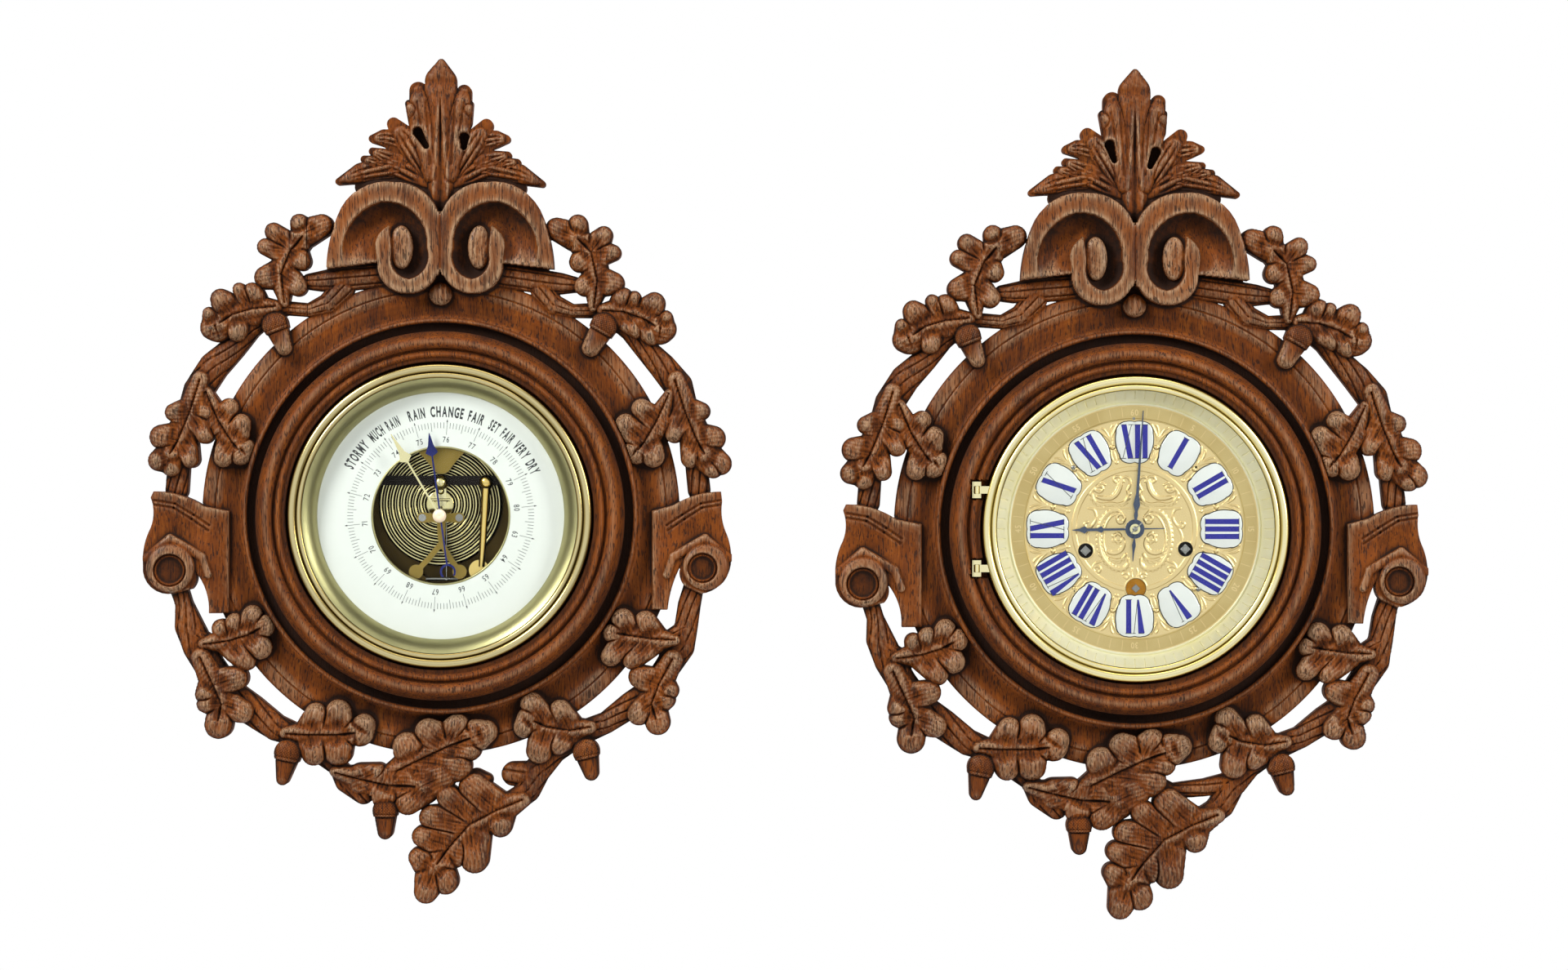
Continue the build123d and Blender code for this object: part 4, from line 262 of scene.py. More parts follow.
NUMERAL_BLUE = painted("enamel_blue", "1A1A86", "2A2AA0", 0.3)
GILT = metal("gilt_embossed", "DDBF84", "D0B074", 0.34, 40.0, 0.25, steep_shade="94702F", pale="E8D09A")
GILT_RING = metal("gilt_satin", "D3BC84", "C6AC72", 0.33)
GLASS = clear_glass("glass_clear")
# painted shade: black for the shadow line round the cartouches and the screws' slots
PAINTED_SHADE_BLACK = painted("shade_black", "17130F", "0E0C0A", 0.6)
# painted shade: a darker brass for the drum and base plate deep inside the case
BRASS_SHADE = metal("brass_in_shade", "5C4A26", "483A1E", 0.36)
# painted shade for the reflector's slits
SLIT_SHADE = painted("slit_shade_brown", "6A5522", "57451B", 0.5)
# painted shade for the insides of the winding holes
WELL_SHADE = painted("well_shade_brown", "2E1C10", "1E1209", 0.5)
CREAM_GILT = metal("gilt_cream", "FFFADC", "FAF0C0", 0.30, metallic=0.25)
BRASS_GREEN = metal("brass_pressed", "968650", "827240", 0.14, steep_shade="2A2210", pale="E8DEA8")
BRASS_DEEP = metal("brass_old", "8E7A45", "78683A", 0.18, steep_shade="3A3016", pale="C9BC8C")
GOLDEN = metal("brass_gilt_bright", "D2A94A", "BC9238", 0.22, steep_shade="6A4C14", pale="EBCF82")
COPPERY = metal("brass_orange", "B8802E", "A06A22", 0.4, 200.0)
PEARL = painted("knob_pearl", "F0DCC0", "E4CCA8", 0.2, coat=0.5)
BLUE_GREY = metal("steel_blue_grey", "5A6478", "4C556A", 0.34)


def finish_nodes(material, names):
    for name in names:
        slots = nodes[name].data.materials
        if len(slots):
            for index in range(len(slots)):
                nodes[name].material_slots[index].link = "OBJECT"
                nodes[name].material_slots[index].material = material
        else:
            nodes[name].data.materials.append(material)


# Meshes

def build(name, points, faces, material, body, smooth=35.0, replaces=(), attributes=None, uv=None):
    """A piece from points in millimetres (x, w, z in the world) and faces as index rows of 3 or 4."""
    mesh = bpy.data.meshes.new(name)
    points = np.asarray(points, dtype=np.float64) * (0.001, -0.001, 0.001)
    mesh.vertices.add(len(points))
    mesh.vertices.foreach_set("co", points.astype(np.float32).ravel())
    counts, corners = [], []
    for group in faces:
        group = np.asarray(group, dtype=np.int32)
        counts.append(np.full(len(group), group.shape[1], dtype=np.int32))
        corners.append(group.ravel())
    counts = np.concatenate(counts)
    corners = np.concatenate(corners)
    mesh.loops.add(len(corners))
    mesh.loops.foreach_set("vertex_index", corners)
    mesh.polygons.add(len(counts))
    mesh.polygons.foreach_set("loop_start", np.concatenate(([0], np.cumsum(counts)[:-1])).astype(np.int32))
    for key, values in (attributes or {}).items():
        made = mesh.attributes.new(key, "FLOAT", "POINT")
        made.data.foreach_set("value", np.asarray(values, dtype=np.float32))
    if uv is not None:
        layer = mesh.uv_layers.new(name="OFBake")
        layer.uv.foreach_set("vector", uv[corners].astype(np.float32).ravel())
    mesh.update(calc_edges=True)
    mesh.validate()
    mesh.shade_smooth()
    if smooth < 180:
        mesh.set_sharp_from_angle(angle=radians(smooth))
    mesh.materials.append(material)
    piece = bpy.data.objects.new(name, mesh)
    bpy.context.scene.collection.objects.link(piece)
    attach(piece, body)
    if replaces:
        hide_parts(*([replaces] if isinstance(replaces, str) else replaces))
    return piece


def scaled(share):
    """Shares of the panel's radius, in millimetres."""
    return tuple(PANEL * value for value in share)


def arc(start, midway, end, steps=8):
    """Points after start along the circle through three points."""
    (ax, ay), (bx, by), (cx, cy) = start, midway, end
    d = 2 * (ax * (by - cy) + bx * (cy - ay) + cx * (ay - by))
    ux = ((ax**2 + ay**2) * (by - cy) + (bx**2 + by**2) * (cy - ay) + (cx**2 + cy**2) * (ay - by)) / d
    uy = ((ax**2 + ay**2) * (cx - bx) + (bx**2 + by**2) * (ax - cx) + (cx**2 + cy**2) * (bx - ax)) / d
    first = atan2(ay - uy, ax - ux)
    half = (atan2(by - uy, bx - ux) - first) % (2 * pi)
    whole = (atan2(cy - uy, cx - ux) - first) % (2 * pi)
    if half > whole:
        whole -= 2 * pi
    radius = hypot(ax - ux, ay - uy)
    return [(ux + radius * cos(first + whole * i / steps), uy + radius * sin(first + whole * i / steps))
            for i in range(1, steps + 1)]


def outline(start, rows):
    """Lines and arcs through shares, as points: each row is a midway point or None, and an end point."""
    points = [scaled(start)]
    for midway, end in rows:
        points += arc(points[-1], scaled(midway), scaled(end)) if midway else [scaled(end)]
    return points


def revolve(name, unit, profile, material, body, steps=192, shade=None, smooth=35.0, replaces=(),
            reshape=None):
    """A turned piece from a profile of (radius, w), going round so that its front faces the room."""
    profile = np.array(profile, dtype=float)
    after = np.roll(profile, -1, axis=0)
    if np.sum(profile[:, 0] * after[:, 1] - after[:, 0] * profile[:, 1]) < 0:
        profile = profile[::-1]
        shade = shade[::-1] if shade is not None else None
    angle = np.arange(steps) * (2 * pi) / steps
    x = unit.x + np.outer(np.cos(angle), profile[:, 0])
    z = unit.z + np.outer(np.sin(angle), profile[:, 0])
    w = np.outer(np.ones(steps), profile[:, 1])
    points = np.stack([x, w, z], axis=-1).reshape(-1, 3)
    if reshape:
        reshape(points)
    n = len(profile)
    a, b = np.meshgrid(np.arange(steps), np.arange(n), indexing="ij")
    a, b = a.ravel(), b.ravel()
    a2, b2 = (a + 1) % steps, (b + 1) % n
    faces = np.stack([a * n + b, a2 * n + b, a2 * n + b2, a * n + b2], axis=-1)
    extra = {"relief": np.tile(np.array(shade, dtype=float), steps)} if shade is not None else None
    return build(name, points, [faces], material, body, smooth, replaces, extra)


def capsule(x, z, a, b):
    """Signed distance to a tapered band round two circles, with the place along and across it and its radius."""
    (ax, az, ar), (bx, bz, br) = a, b
    length = hypot(bx - ax, bz - az)
    ux, uz = (bx - ax) / length, (bz - az) / length
    along = (x - ax) * ux + (z - az) * uz
    side = (z - az) * ux - (x - ax) * uz
    # where one circle holds the other, the band is as good as the larger one
    lean = max(-0.999, min(0.999, (ar - br) / length))
    rise = sqrt(1 - lean * lean)
    q = np.abs(side)
    k = along * rise - q * lean
    distance = np.where(k < 0, np.hypot(q, along) - ar,
                        np.where(k > rise * length, np.hypot(q, along - length) - br, q * rise + along * lean - ar))
    share = np.clip(along / length, 0, 1)
    return distance, along, side, share, ar + (br - ar) * share


def polygon_distance(x, z, points):
    """Signed distance to a closed outline, inside below zero."""
    best = np.full(x.shape, 1e9)
    inside = np.zeros(x.shape, dtype=bool)
    for (ax, az), (bx, bz) in zip(points, points[1:] + points[:1]):
        dx, dz = bx - ax, bz - az
        if dx == 0 and dz == 0:
            continue
        t = np.clip(((x - ax) * dx + (z - az) * dz) / (dx * dx + dz * dz), 0, 1)
        best = np.minimum(best, (x - ax - t * dx) ** 2 + (z - az - t * dz) ** 2)
        if dz != 0:
            crossing = (az > z) != (bz > z)
            inside ^= crossing & (x < (bx - ax) * (z - az) / dz + ax)
    return np.where(inside, -1, 1) * np.sqrt(best)


def blurred(field, sigma):
    """The field smoothed over sigma grid cells."""
    rows = np.fft.fftfreq(field.shape[0])[:, None]
    columns = np.fft.rfftfreq(field.shape[1])[None, :]
    gain = np.exp(-2 * (pi * sigma) ** 2 * (rows ** 2 + columns ** 2))
    return np.fft.irfft2(np.fft.rfft2(field) * gain, s=field.shape)


class Relief:
    """Carving on a grid: a height over the board's back, and the signed distance to the outline."""

    def __init__(self, half_width, low, high, step):
        self.step = step
        count = round(half_width / step)
        self.x = np.arange(-count, count + 1) * step
        self.z = np.arange(round(low / step), round(high / step) + 1) * step
        self.X, self.Z = np.meshgrid(self.x, self.z)
        self.height = np.zeros_like(self.X)
        self.edge = np.full_like(self.X, EMPTY)
        self.tone = np.zeros_like(self.X)

    def window(self, circles, margin=2.0):
        """The part of the grid round some circles, with its places across and up."""
        x0 = min(c[0] - c[2] for c in circles) - margin
        x1 = max(c[0] + c[2] for c in circles) + margin
        z0 = min(c[1] - c[2] for c in circles) - margin
        z1 = max(c[1] + c[2] for c in circles) + margin
        j0, j1 = np.searchsorted(self.x, [x0, x1])
        i0, i1 = np.searchsorted(self.z, [z0, z1])
        part = np.s_[i0:i1, j0:j1]
        return part, self.X[part], self.Z[part]

    def lay(self, part, edge, height):
        """Adds a form over what is there."""
        old = self.height[part]
        cover = np.where((old <= 0.01) & (edge < 1.5 * self.step), 1.0, np.clip(0.5 - edge / self.step, 0, 1))
        self.height[part] = old + (np.maximum(height, old) - old) * cover
        self.edge[part] = np.minimum(self.edge[part], edge)

    def sink(self, part, edge, height):
        """Cuts down to a height inside an outline."""
        old = self.height[part]
        cover = np.clip(0.5 - edge / self.step, 0, 1)
        self.height[part] = old + (np.minimum(height, old) - old) * cover

    def piece(self, name, unit, lift, back, low, high, material, body, slot, replaces=(), crack=None):
        """The carving between two places across, as a closed mesh whose rim follows the outline."""
        step = self.step
        edge, height = self.edge, self.height
        middle = (edge[:-1, :-1] + edge[1:, :-1] + edge[:-1, 1:] + edge[1:, 1:]) / 4
        kept = middle < 0
        padded = np.pad(kept, 1)
        touching = padded[:-1, :-1] & padded[1:, :-1] & padded[:-1, 1:] & padded[1:, 1:]
        gz, gx = np.gradient(edge, step)
        size = np.maximum(np.hypot(gx, gz), 0.3)
        move = np.where(touching, 0, np.clip(edge, -0.75 * step, 0.75 * step)) / size
        X = self.X - move * gx / size
        Z = self.Z - move * gz / size
        if crack is not None:
            X = X + crack(self.X, self.Z)
        columns = (self.x[:-1] + step / 2 > low) & (self.x[:-1] + step / 2 < high)
        kept = kept & columns[None, :]
        cell_i, cell_j = np.nonzero(kept)
        used = np.zeros(edge.shape, dtype=bool)
        for di in (0, 1):
            for dj in (0, 1):
                used[cell_i + di, cell_j + dj] = True
        index = np.full(edge.shape, -1, dtype=np.int64)
        index[used] = np.arange(used.sum())
        top = np.stack([unit.x + X[used], lift + height[used], unit.z + Z[used]], axis=-1)
        shade = self.shade[used]
        quads = np.stack([index[cell_i, cell_j], index[cell_i, cell_j + 1], index[cell_i + 1, cell_j + 1],
                          index[cell_i + 1, cell_j]], axis=-1)
        # walls round the rim, with points of their own
        pad = np.pad(kept, 1)
        walls = []
        for di, dj, first, second in ((0, -1, (1, 0), (0, 0)), (0, 1, (0, 1), (1, 1)), (-1, 0, (0, 0), (0, 1)),
                                      (1, 0, (1, 1), (1, 0))):
            open_side = kept & ~pad[1 + di:pad.shape[0] - 1 + di, 1 + dj:pad.shape[1] - 1 + dj]
            i, j = np.nonzero(open_side)
            walls.append(np.stack([i + first[0], j + first[1], i + second[0], j + second[1]], axis=-1))
        walls = np.concatenate(walls)
        rim = np.zeros(edge.shape, dtype=bool)
        rim[walls[:, 0], walls[:, 1]] = True
        rim[walls[:, 2], walls[:, 3]] = True
        rim_index = np.full(edge.shape, -1, dtype=np.int64)
        rim_index[rim] = np.arange(rim.sum())
        upper = np.stack([unit.x + X[rim], lift + height[rim], unit.z + Z[rim]], axis=-1)
        lower = upper.copy()
        lower[:, 1] = back
        base = len(top)
        count = len(upper)
        a = rim_index[walls[:, 0], walls[:, 1]]
        b = rim_index[walls[:, 2], walls[:, 3]]
        sides = np.stack([base + b, base + a, base + count + a, base + count + b], axis=-1)
        # the back, in strips along each row of cells
        row_change = np.diff(np.pad(kept, ((0, 0), (1, 1))).astype(np.int8), axis=1)
        start_i, start_j = np.nonzero(row_change == 1)
        _, end_j = np.nonzero(row_change == -1)
        strip_rows = np.concatenate([start_i, start_i, start_i + 1, start_i + 1])
        strip_columns = np.concatenate([start_j, end_j, end_j, start_j])
        back_points = np.stack([unit.x + X[strip_rows, strip_columns], np.full(len(strip_rows), back),
                                unit.z + Z[strip_rows, strip_columns]], axis=-1)
        base2 = base + 2 * count
        m = len(start_i)
        k = np.arange(m)
        strips = np.stack([base2 + k, base2 + 3 * m + k, base2 + 2 * m + k, base2 + m + k], axis=-1)
        points = np.concatenate([top, upper, lower, back_points])
        shades = np.concatenate([shade, np.full(count, 0.45), np.full(count, 0.42), np.full(len(back_points), 0.45)])
        uv = np.stack([(points[:, 0] - unit.x - self.x[0]) / (self.x[-1] - self.x[0]),
                       (points[:, 2] - unit.z - self.z[0]) / (self.z[-1] - self.z[0])], axis=-1)
        return build(name, points, [quads, sides, strips], material, body, 180, replaces,
                     {"relief": shades}, uv)


def prism(name, unit, radius, length, w, material, body):
    """A small upright round bar: its axis is vertical, through the unit's place at height w."""
    steps = 32
    turn = np.arange(steps) * 2 * pi / steps
    ring = np.stack([unit.x + radius * np.cos(turn), w + radius * np.sin(turn)], axis=-1)
    low = np.column_stack([ring, np.full(steps, unit.z - length / 2)])
    high = np.column_stack([ring, np.full(steps, unit.z + length / 2)])
    i = np.arange(steps)
    j = (i + 1) % steps
    sides = np.stack([i, steps + i, steps + j, j], axis=-1)
    centres = [(unit.x, w, unit.z - length / 2), (unit.x, w, unit.z + length / 2)]
    caps = np.concatenate([np.stack([np.full(steps, 2 * steps), i, j], axis=-1),
                           np.stack([np.full(steps, 2 * steps + 1), steps + j, steps + i], axis=-1)])
    return build(name, np.concatenate([low, high, centres]), [sides, caps], material, body)


def area(points):
    return sum(ax * bz - bx * az for (ax, az), (bx, bz) in zip(points, points[1:] + points[:1])) / 2


def plate(name, unit, loops, low, high, material, body, bevel=0.0, apart=False, replaces=()):
    """A flat piece between two heights. Its loops are one outline with its holes, or each a piece of its own."""
    points, triangles, quads = [], [], []
    for group in ([[loop] for loop in loops] if apart else [loops]):
        rings = [loop if (area(loop) > 0) == (k == 0) else loop[::-1] for k, loop in enumerate(group)]
        base = len(points)
        flat = [point for ring in rings for point in ring]
        count = len(flat)
        levels = [(low, 0), (high - bevel * 0.6, 0), (high, bevel)] if bevel else [(low, 0), (high, 0)]
        for w, inset in levels:
            for ring in rings:
                for before, here, after in zip(ring[-1:] + ring[:-1], ring, ring[1:] + ring[:1]):
                    dx, dz = after[0] - before[0], after[1] - before[1]
                    size = hypot(dx, dz) or 1
                    points.append((unit.x + here[0] - inset * dz / size, w, unit.z + here[1] + inset * dx / size))
        top = base + (len(levels) - 1) * count
        veils = [[Vector((x, z, 0)) for x, z in ring] for ring in rings]
        for a, b, c in tessellate_polygon(veils):
            if area([flat[a], flat[b], flat[c]]) < 0:
                b, c = c, b
            triangles += [(top + a, top + b, top + c), (base + a, base + c, base + b)]
        start = 0
        for ring in rings:
            for k in range(len(ring)):
                a, b = start + k, start + (k + 1) % len(ring)
                quads += [(base + level * count + a, base + level * count + b, base + (level + 1) * count + b,
                           base + (level + 1) * count + a) for level in range(len(levels) - 1)]
            start += len(ring)
    return build(name, points, [triangles, quads], material, body, replaces=replaces)


def polar(radius, bearing):
    """A place at a bearing in degrees, clockwise from the top."""
    return (radius * sin(radians(bearing)), radius * cos(radians(bearing)))


def placed(point, bearing):
    """A place across and out, turned to a bearing."""
    across, out = point
    c, s = cos(radians(bearing)), sin(radians(bearing))
    return (across * c + out * s, -across * s + out * c)


def bars(name, unit, rows, w, material, body):
    """Flat strokes just over a surface. Each has two ends and a width at each, and w may differ between them."""
    low, high = w if isinstance(w, tuple) else (w, w)
    points, quads = [], []
    for (ax, az), (bx, bz), start, end in rows:
        size = hypot(bx - ax, bz - az)
        nx, nz = -(bz - az) / size / 2, (bx - ax) / size / 2
        base = len(points)
        points += [(unit.x + ax - nx * start, low, unit.z + az - nz * start),
                   (unit.x + bx - nx * end, high, unit.z + bz - nz * end),
                   (unit.x + bx + nx * end, high, unit.z + bz + nz * end),
                   (unit.x + ax + nx * start, low, unit.z + az + nz * start)]
        quads.append((base, base + 1, base + 2, base + 3))
    return build(name, points, [quads], material, body)


glyphs = {}


def glyph(letter, weight):
    """The mesh of a letter in Blender's own font, one unit tall: its points and faces."""
    if (letter, weight) not in glyphs:
        curve = bpy.data.curves.new("glyph", "FONT")
        curve.body = letter
        curve.resolution_u = 3
        curve.offset = weight
        holder = bpy.data.objects.new("glyph", curve)
        bpy.context.scene.collection.objects.link(holder)
        shown = holder.evaluated_get(bpy.context.evaluated_depsgraph_get())
        mesh = shown.to_mesh()
        mesh.calc_loop_triangles()
        points = [(v.co.x, v.co.y) for v in mesh.vertices]
        faces = [tuple(t.vertices) for t in mesh.loop_triangles]
        shown.to_mesh_clear()
        bpy.data.objects.remove(holder)
        bpy.data.curves.remove(curve)
        glyphs[letter, weight] = (points, faces)
    return glyphs[letter, weight]


def lettering(name, unit, text, radius, bearing, tall, narrow, gap, w, material, body, weight):
    """Upright letters along an arc, their feet toward the middle, centred on a bearing."""
    cap = 0.72
    scale = tall / cap
    runs = []
    along = 0.0
    for letter in text:
        if letter == " ":
            along += 0.95 * tall * narrow
            continue
        points, faces = glyph(letter, weight)
        left = min(p[0] for p in points)
        width = (max(p[0] for p in points) - left) * scale * narrow
        runs.append((along, left, points, faces))
        along += width + gap + 0.12 * tall * narrow
    along -= gap + 0.12 * tall * narrow
    made, triangles = [], []
    middle_radius = radius + tall / 2
    for start, left, points, faces in runs:
        base = len(made)
        for x, y in points:
            across = start - along / 2 + (x - left) * scale * narrow
            turn = radians(bearing) + across / middle_radius
            out = radius + y * scale
            made.append((unit.x + out * sin(turn), w, unit.z + out * cos(turn)))
        for a, b, c in faces:
            flat = [(made[base + k][0], made[base + k][2]) for k in (a, b, c)]
            triangles.append((base + a, base + b, base + c) if area(flat) > 0 else (base + a, base + c, base + b))
    return build(name, made, [triangles], material, body)


# Carved outlines, as shares of the panel radius

midrib_swell_share = 1.2
lobe_swell_share = 1.08
lobe_root_share = 1.17
branch_swell_share = 1.08
crest_swell_share = 1.2
panel_edge_share = 1.017
# A leaf has its midrib from stalk to tip, then each lobe with the midrib point that it grows from.
leaf_shares = (
    # upper left, standing on the loop
    (((-.665, .905, .020), (-.680, 1.03, .050), (-.640, 1.13, .052), (-.575, 1.205, .045)),
     ((1, -.745, 1.015, .045), (2, -.745, 1.145, .034), (2, -.710, 1.210, .036), (3, -.600, 1.245, .038),
      (3, -.505, 1.235, .046), (2, -.592, 1.085, .038), (1, -.610, .978, .040))),
    # outer left
    (((-.700, .890, .030), (-.800, .880, .055), (-.885, .855, .060), (-.950, .810, .050)),
     ((1, -.800, .945, .045), (1, -.857, .965, .026), (2, -.935, .922, .042), (3, -.985, .862, .026),
      (3, -.968, .803, .052), (2, -.865, .785, .042))),
    # left ear leaf
    (((-1.02, .580, .040), (-1.065, .440, .050), (-1.115, .320, .058), (-1.155, .250, .050)),
     ((1, -1.135, .440, .036), (2, -1.185, .335, .050), (3, -1.200, .235, .042), (3, -1.145, .210, .040),
      (2, -1.065, .242, .036), (1, -1.005, .345, .036), (1, -1.00, .440, .038))),
    # left inner leaf, on the panel
    (((-.995, .530, .022), (-.945, .410, .042), (-.885, .315, .050), (-.850, .275, .042)),
     ((1, -.900, .460, .038), (2, -.852, .390, .042), (3, -.832, .288, .040), (2, -.925, .247, .038))),
    # lower left inner leaf, on the panel
    (((-1.01, -.545, .024), (-.900, -.530, .050), (-.820, -.505, .050), (-.755, -.470, .042)),
     ((1, -.935, -.478, .036), (1, -.875, -.455, .038), (2, -.800, -.425, .042), (2, -.768, -.560, .048),
      (1, -.835, -.615, .044))),
    # lower left hanging leaf
    (((-1.02, -.600, .045), (-.965, -.720, .050), (-.930, -.800, .050), (-.945, -.890, .050)),
     ((1, -.870, -.690, .048), (1, -.998, -.760, .044), (2, -1.00, -.800, .036), (2, -.845, -.832, .047))),
    # lower left leaf under the panel
    (((-.660, -.925, .028), (-.560, -.930, .050), (-.440, -.930, .055), (-.345, -.920, .045)),
     ((1, -.530, -.845, .046), (2, -.435, -.838, .052), (3, -.325, -.892, .046), (1, -.540, -1.01, .050),
      (2, -.435, -1.005, .056))),
    # upper right, standing on the loop
    (((.650, .885, .020), (.665, 1.00, .050), (.640, 1.12, .052), (.570, 1.19, .045)),
     ((1, .735, .990, .045), (2, .735, 1.12, .032), (2, .695, 1.195, .036), (3, .585, 1.240, .040),
      (3, .495, 1.220, .046), (2, .590, 1.080, .040), (1, .612, .978, .040))),
    # outer right
    (((.690, .875, .030), (.780, .870, .055), (.865, .840, .058), (.930, .800, .050)),
     ((1, .775, .925, .045), (1, .825, .928, .028), (2, .910, .905, .044), (3, .958, .843, .030),
      (3, .948, .797, .052), (2, .900, .768, .040), (1, .840, .795, .040))),
    # right ear leaf
    (((1.00, .580, .040), (1.045, .440, .050), (1.095, .320, .056), (1.135, .250, .050)),
     ((1, 1.110, .445, .036), (2, 1.160, .330, .050), (3, 1.190, .222, .046), (3, 1.160, .202, .040),
      (2, 1.065, .245, .040), (1, .995, .350, .038))),
    # right inner leaf, on the panel
    (((.975, .520, .022), (.920, .400, .045), (.870, .315, .050), (.835, .270, .036)),
     ((1, .855, .456, .040), (2, .790, .387, .045), (3, .820, .280, .040), (2, .905, .255, .046))),
    # lower right inner leaf, on the panel
    (((1.00, -.530, .024), (.900, -.525, .050), (.810, -.512, .050), (.735, -.500, .036)),
     ((1, .872, -.455, .047), (2, .775, -.442, .045), (2, .725, -.598, .040), (1, .820, -.608, .045))),
    # lower right hanging leaf
    (((.990, -.610, .045), (.930, -.720, .050), (.900, -.800, .050), (.925, -.880, .045)),
     ((1, .850, -.685, .047), (1, .975, -.745, .038), (2, .965, -.785, .034), (2, .845, -.842, .047))),
    # lower right leaf under the panel
    (((.640, -.900, .028), (.550, -.915, .050), (.450, -.900, .052), (.385, -.870, .045)),
     ((1, .510, -.832, .046), (2, .388, -.800, .046), (3, .358, -.900, .044), (2, .420, -1.00, .052),
      (1, .500, -.970, .045))),
    # large leaf across the bottom of the panel
    (((-.240, -1.11, .035), (-.110, -1.045, .060), (.030, -.980, .065), (.150, -.935, .050)),
     ((1, -.140, -.985, .060), (2, -.050, -.920, .055), (2, .070, -.895, .050), (3, .192, -.920, .047),
      (2, .125, -.995, .046), (1, .065, -1.065, .065))),
    # leaf to the left of the bottom
    (((-.450, -1.09, .024), (-.340, -1.12, .048), (-.220, -1.145, .058), (-.080, -1.150, .060)),
     ((1, -.340, -1.085, .030), (1, -.265, -1.090, .036), (2, -.240, -1.195, .050), (3, -.140, -1.215, .055),
      (3, .010, -1.110, .055))),
    # tail leaf
    (((.350, -1.21, .035), (.240, -1.255, .060), (.125, -1.315, .070), (.040, -1.410, .068),
      (-.025, -1.50, .060)),
     ((1, .140, -1.160, .060), (2, .030, -1.190, .046), (2, -.040, -1.285, .048), (3, -.075, -1.365, .044),
      (4, -.092, -1.455, .042), (1, .255, -1.318, .048), (2, .145, -1.460, .058), (4, .020, -1.555, .054),
      (4, -.062, -1.600, .048))),
)
# Twisted branches, as chains of rounds
branch_shares = (
    ((-.200, 1.030, .045), (-.420, 1.010, .050), (-.510, 1.000, .040), (-.560, .998, .032)),
    ((-.420, .970, .048), (-.480, .905, .042), (-.560, .877, .027), (-.660, .885, .028), (-.740, .860, .040)),
    ((-.740, .860, .040), (-.810, .795, .038), (-.885, .717, .048), (-.970, .635, .058), (-1.035, .535, .058),
     (-1.08, .400, .050), (-1.115, .250, .044), (-1.125, .110, .045)),
    ((.200, 1.030, .045), (.420, 1.000, .048), (.510, .990, .042), (.575, .985, .030)),
    ((.430, .960, .045), (.480, .900, .042), (.560, .873, .027), (.650, .875, .030), (.730, .850, .040)),
    ((.730, .850, .040), (.805, .785, .038), (.872, .712, .045), (.945, .635, .054), (1.01, .555, .058),
     (1.05, .420, .050), (1.085, .250, .044), (1.10, .110, .045)),
    ((-1.13, -.270, .035), (-1.095, -.380, .034), (-1.075, -.470, .055), (-1.035, -.560, .060),
     (-.985, -.645, .058), (-.907, -.748, .054), (-.808, -.828, .060), (-.705, -.903, .052),
     (-.620, -.935, .045), (-.500, -1.00, .058), (-.440, -1.07, .036), (-.400, -1.13, .048),
     (-.330, -1.185, .042)),
    ((-1.05, -.500, .030), (-.985, -.540, .030), (-.930, -.520, .030)),
    ((1.085, -.270, .038), (1.058, -.380, .045), (1.045, -.470, .046), (1.02, -.560, .056),
     (.965, -.645, .052), (.897, -.738, .046), (.808, -.808, .052), (.703, -.883, .043),
     (.590, -.930, .048), (.480, -1.00, .052), (.405, -1.09, .055), (.370, -1.17, .050),
     (.300, -1.235, .040)),
    ((1.03, -.480, .030), (.965, -.525, .030), (.910, -.520, .030)),
)
# The twig loop over the tail: whole on the clock, broken off short on the barometer
whole_loop_shares = (
    ((.420, -1.07, .040), (.300, -1.095, .034), (.160, -1.110, .030), (.100, -1.090, .040)),
    ((.370, -1.17, .040), (.280, -1.215, .030), (.200, -1.195, .030), (.160, -1.150, .040)),
)
broken_loop_shares = (
    ((.400, -1.10, .050), (.310, -1.10, .048)),
    ((.370, -1.17, .040), (.280, -1.215, .030), (.200, -1.205, .026), (.160, -1.170, .040)),
    ((.150, -1.12, .040), (.195, -1.125, .026)),
)
# Acorns: centre and radius of the cup, then of the nut's tip
acorn_shares = (
    ((-.705, .815, .055), (-.665, .715, .036)),
    ((.695, .810, .057), (.640, .715, .042)),
    ((-.650, -1.01, .058), (-.672, -1.12, .030)),
    ((.620, -1.005, .057), (.642, -1.095, .036)),
    ((-.235, -1.255, .054), (-.235, -1.345, .036)),
)
# Leafage of the crest, as chains of rounds from the middle foot outward
crest_shares = (
    ((0, 1.36, .050), (0, 1.62, .060), (0, 1.85, .056), (.003, 1.93, .014)),
    ((-.030, 1.45, .040), (-.075, 1.68, .050), (-.095, 1.81, .032)),
    ((.030, 1.45, .040), (.072, 1.68, .048), (.100, 1.805, .026)),
    ((-.090, 1.68, .040), (-.135, 1.755, .014)),
    ((.090, 1.68, .036), (.122, 1.755, .014)),
    ((-.040, 1.42, .040), (-.150, 1.605, .045), (-.200, 1.668, .024)),
    ((.040, 1.42, .040), (.150, 1.595, .045), (.195, 1.662, .024)),
    ((-.150, 1.590, .045), (-.240, 1.610, .030), (-.290, 1.606, .014)),
    ((.150, 1.590, .045), (.235, 1.605, .030), (.280, 1.605, .014)),
    ((-.040, 1.40, .040), (-.200, 1.490, .050), (-.340, 1.460, .036), (-.435, 1.424, .012)),
    ((.040, 1.40, .040), (.200, 1.485, .050), (.335, 1.455, .036), (.432, 1.414, .012)),
    ((-.180, 1.500, .050), (-.290, 1.552, .014)),
    ((-.220, 1.480, .045), (-.325, 1.518, .014)),
    ((.180, 1.500, .050), (.285, 1.535, .014)),
    ((.220, 1.480, .045), (.325, 1.504, .014)),
    ((-.040, 1.37, .050), (-.330, 1.400, .030)),
    ((.040, 1.37, .050), (.330, 1.395, .030)),
)
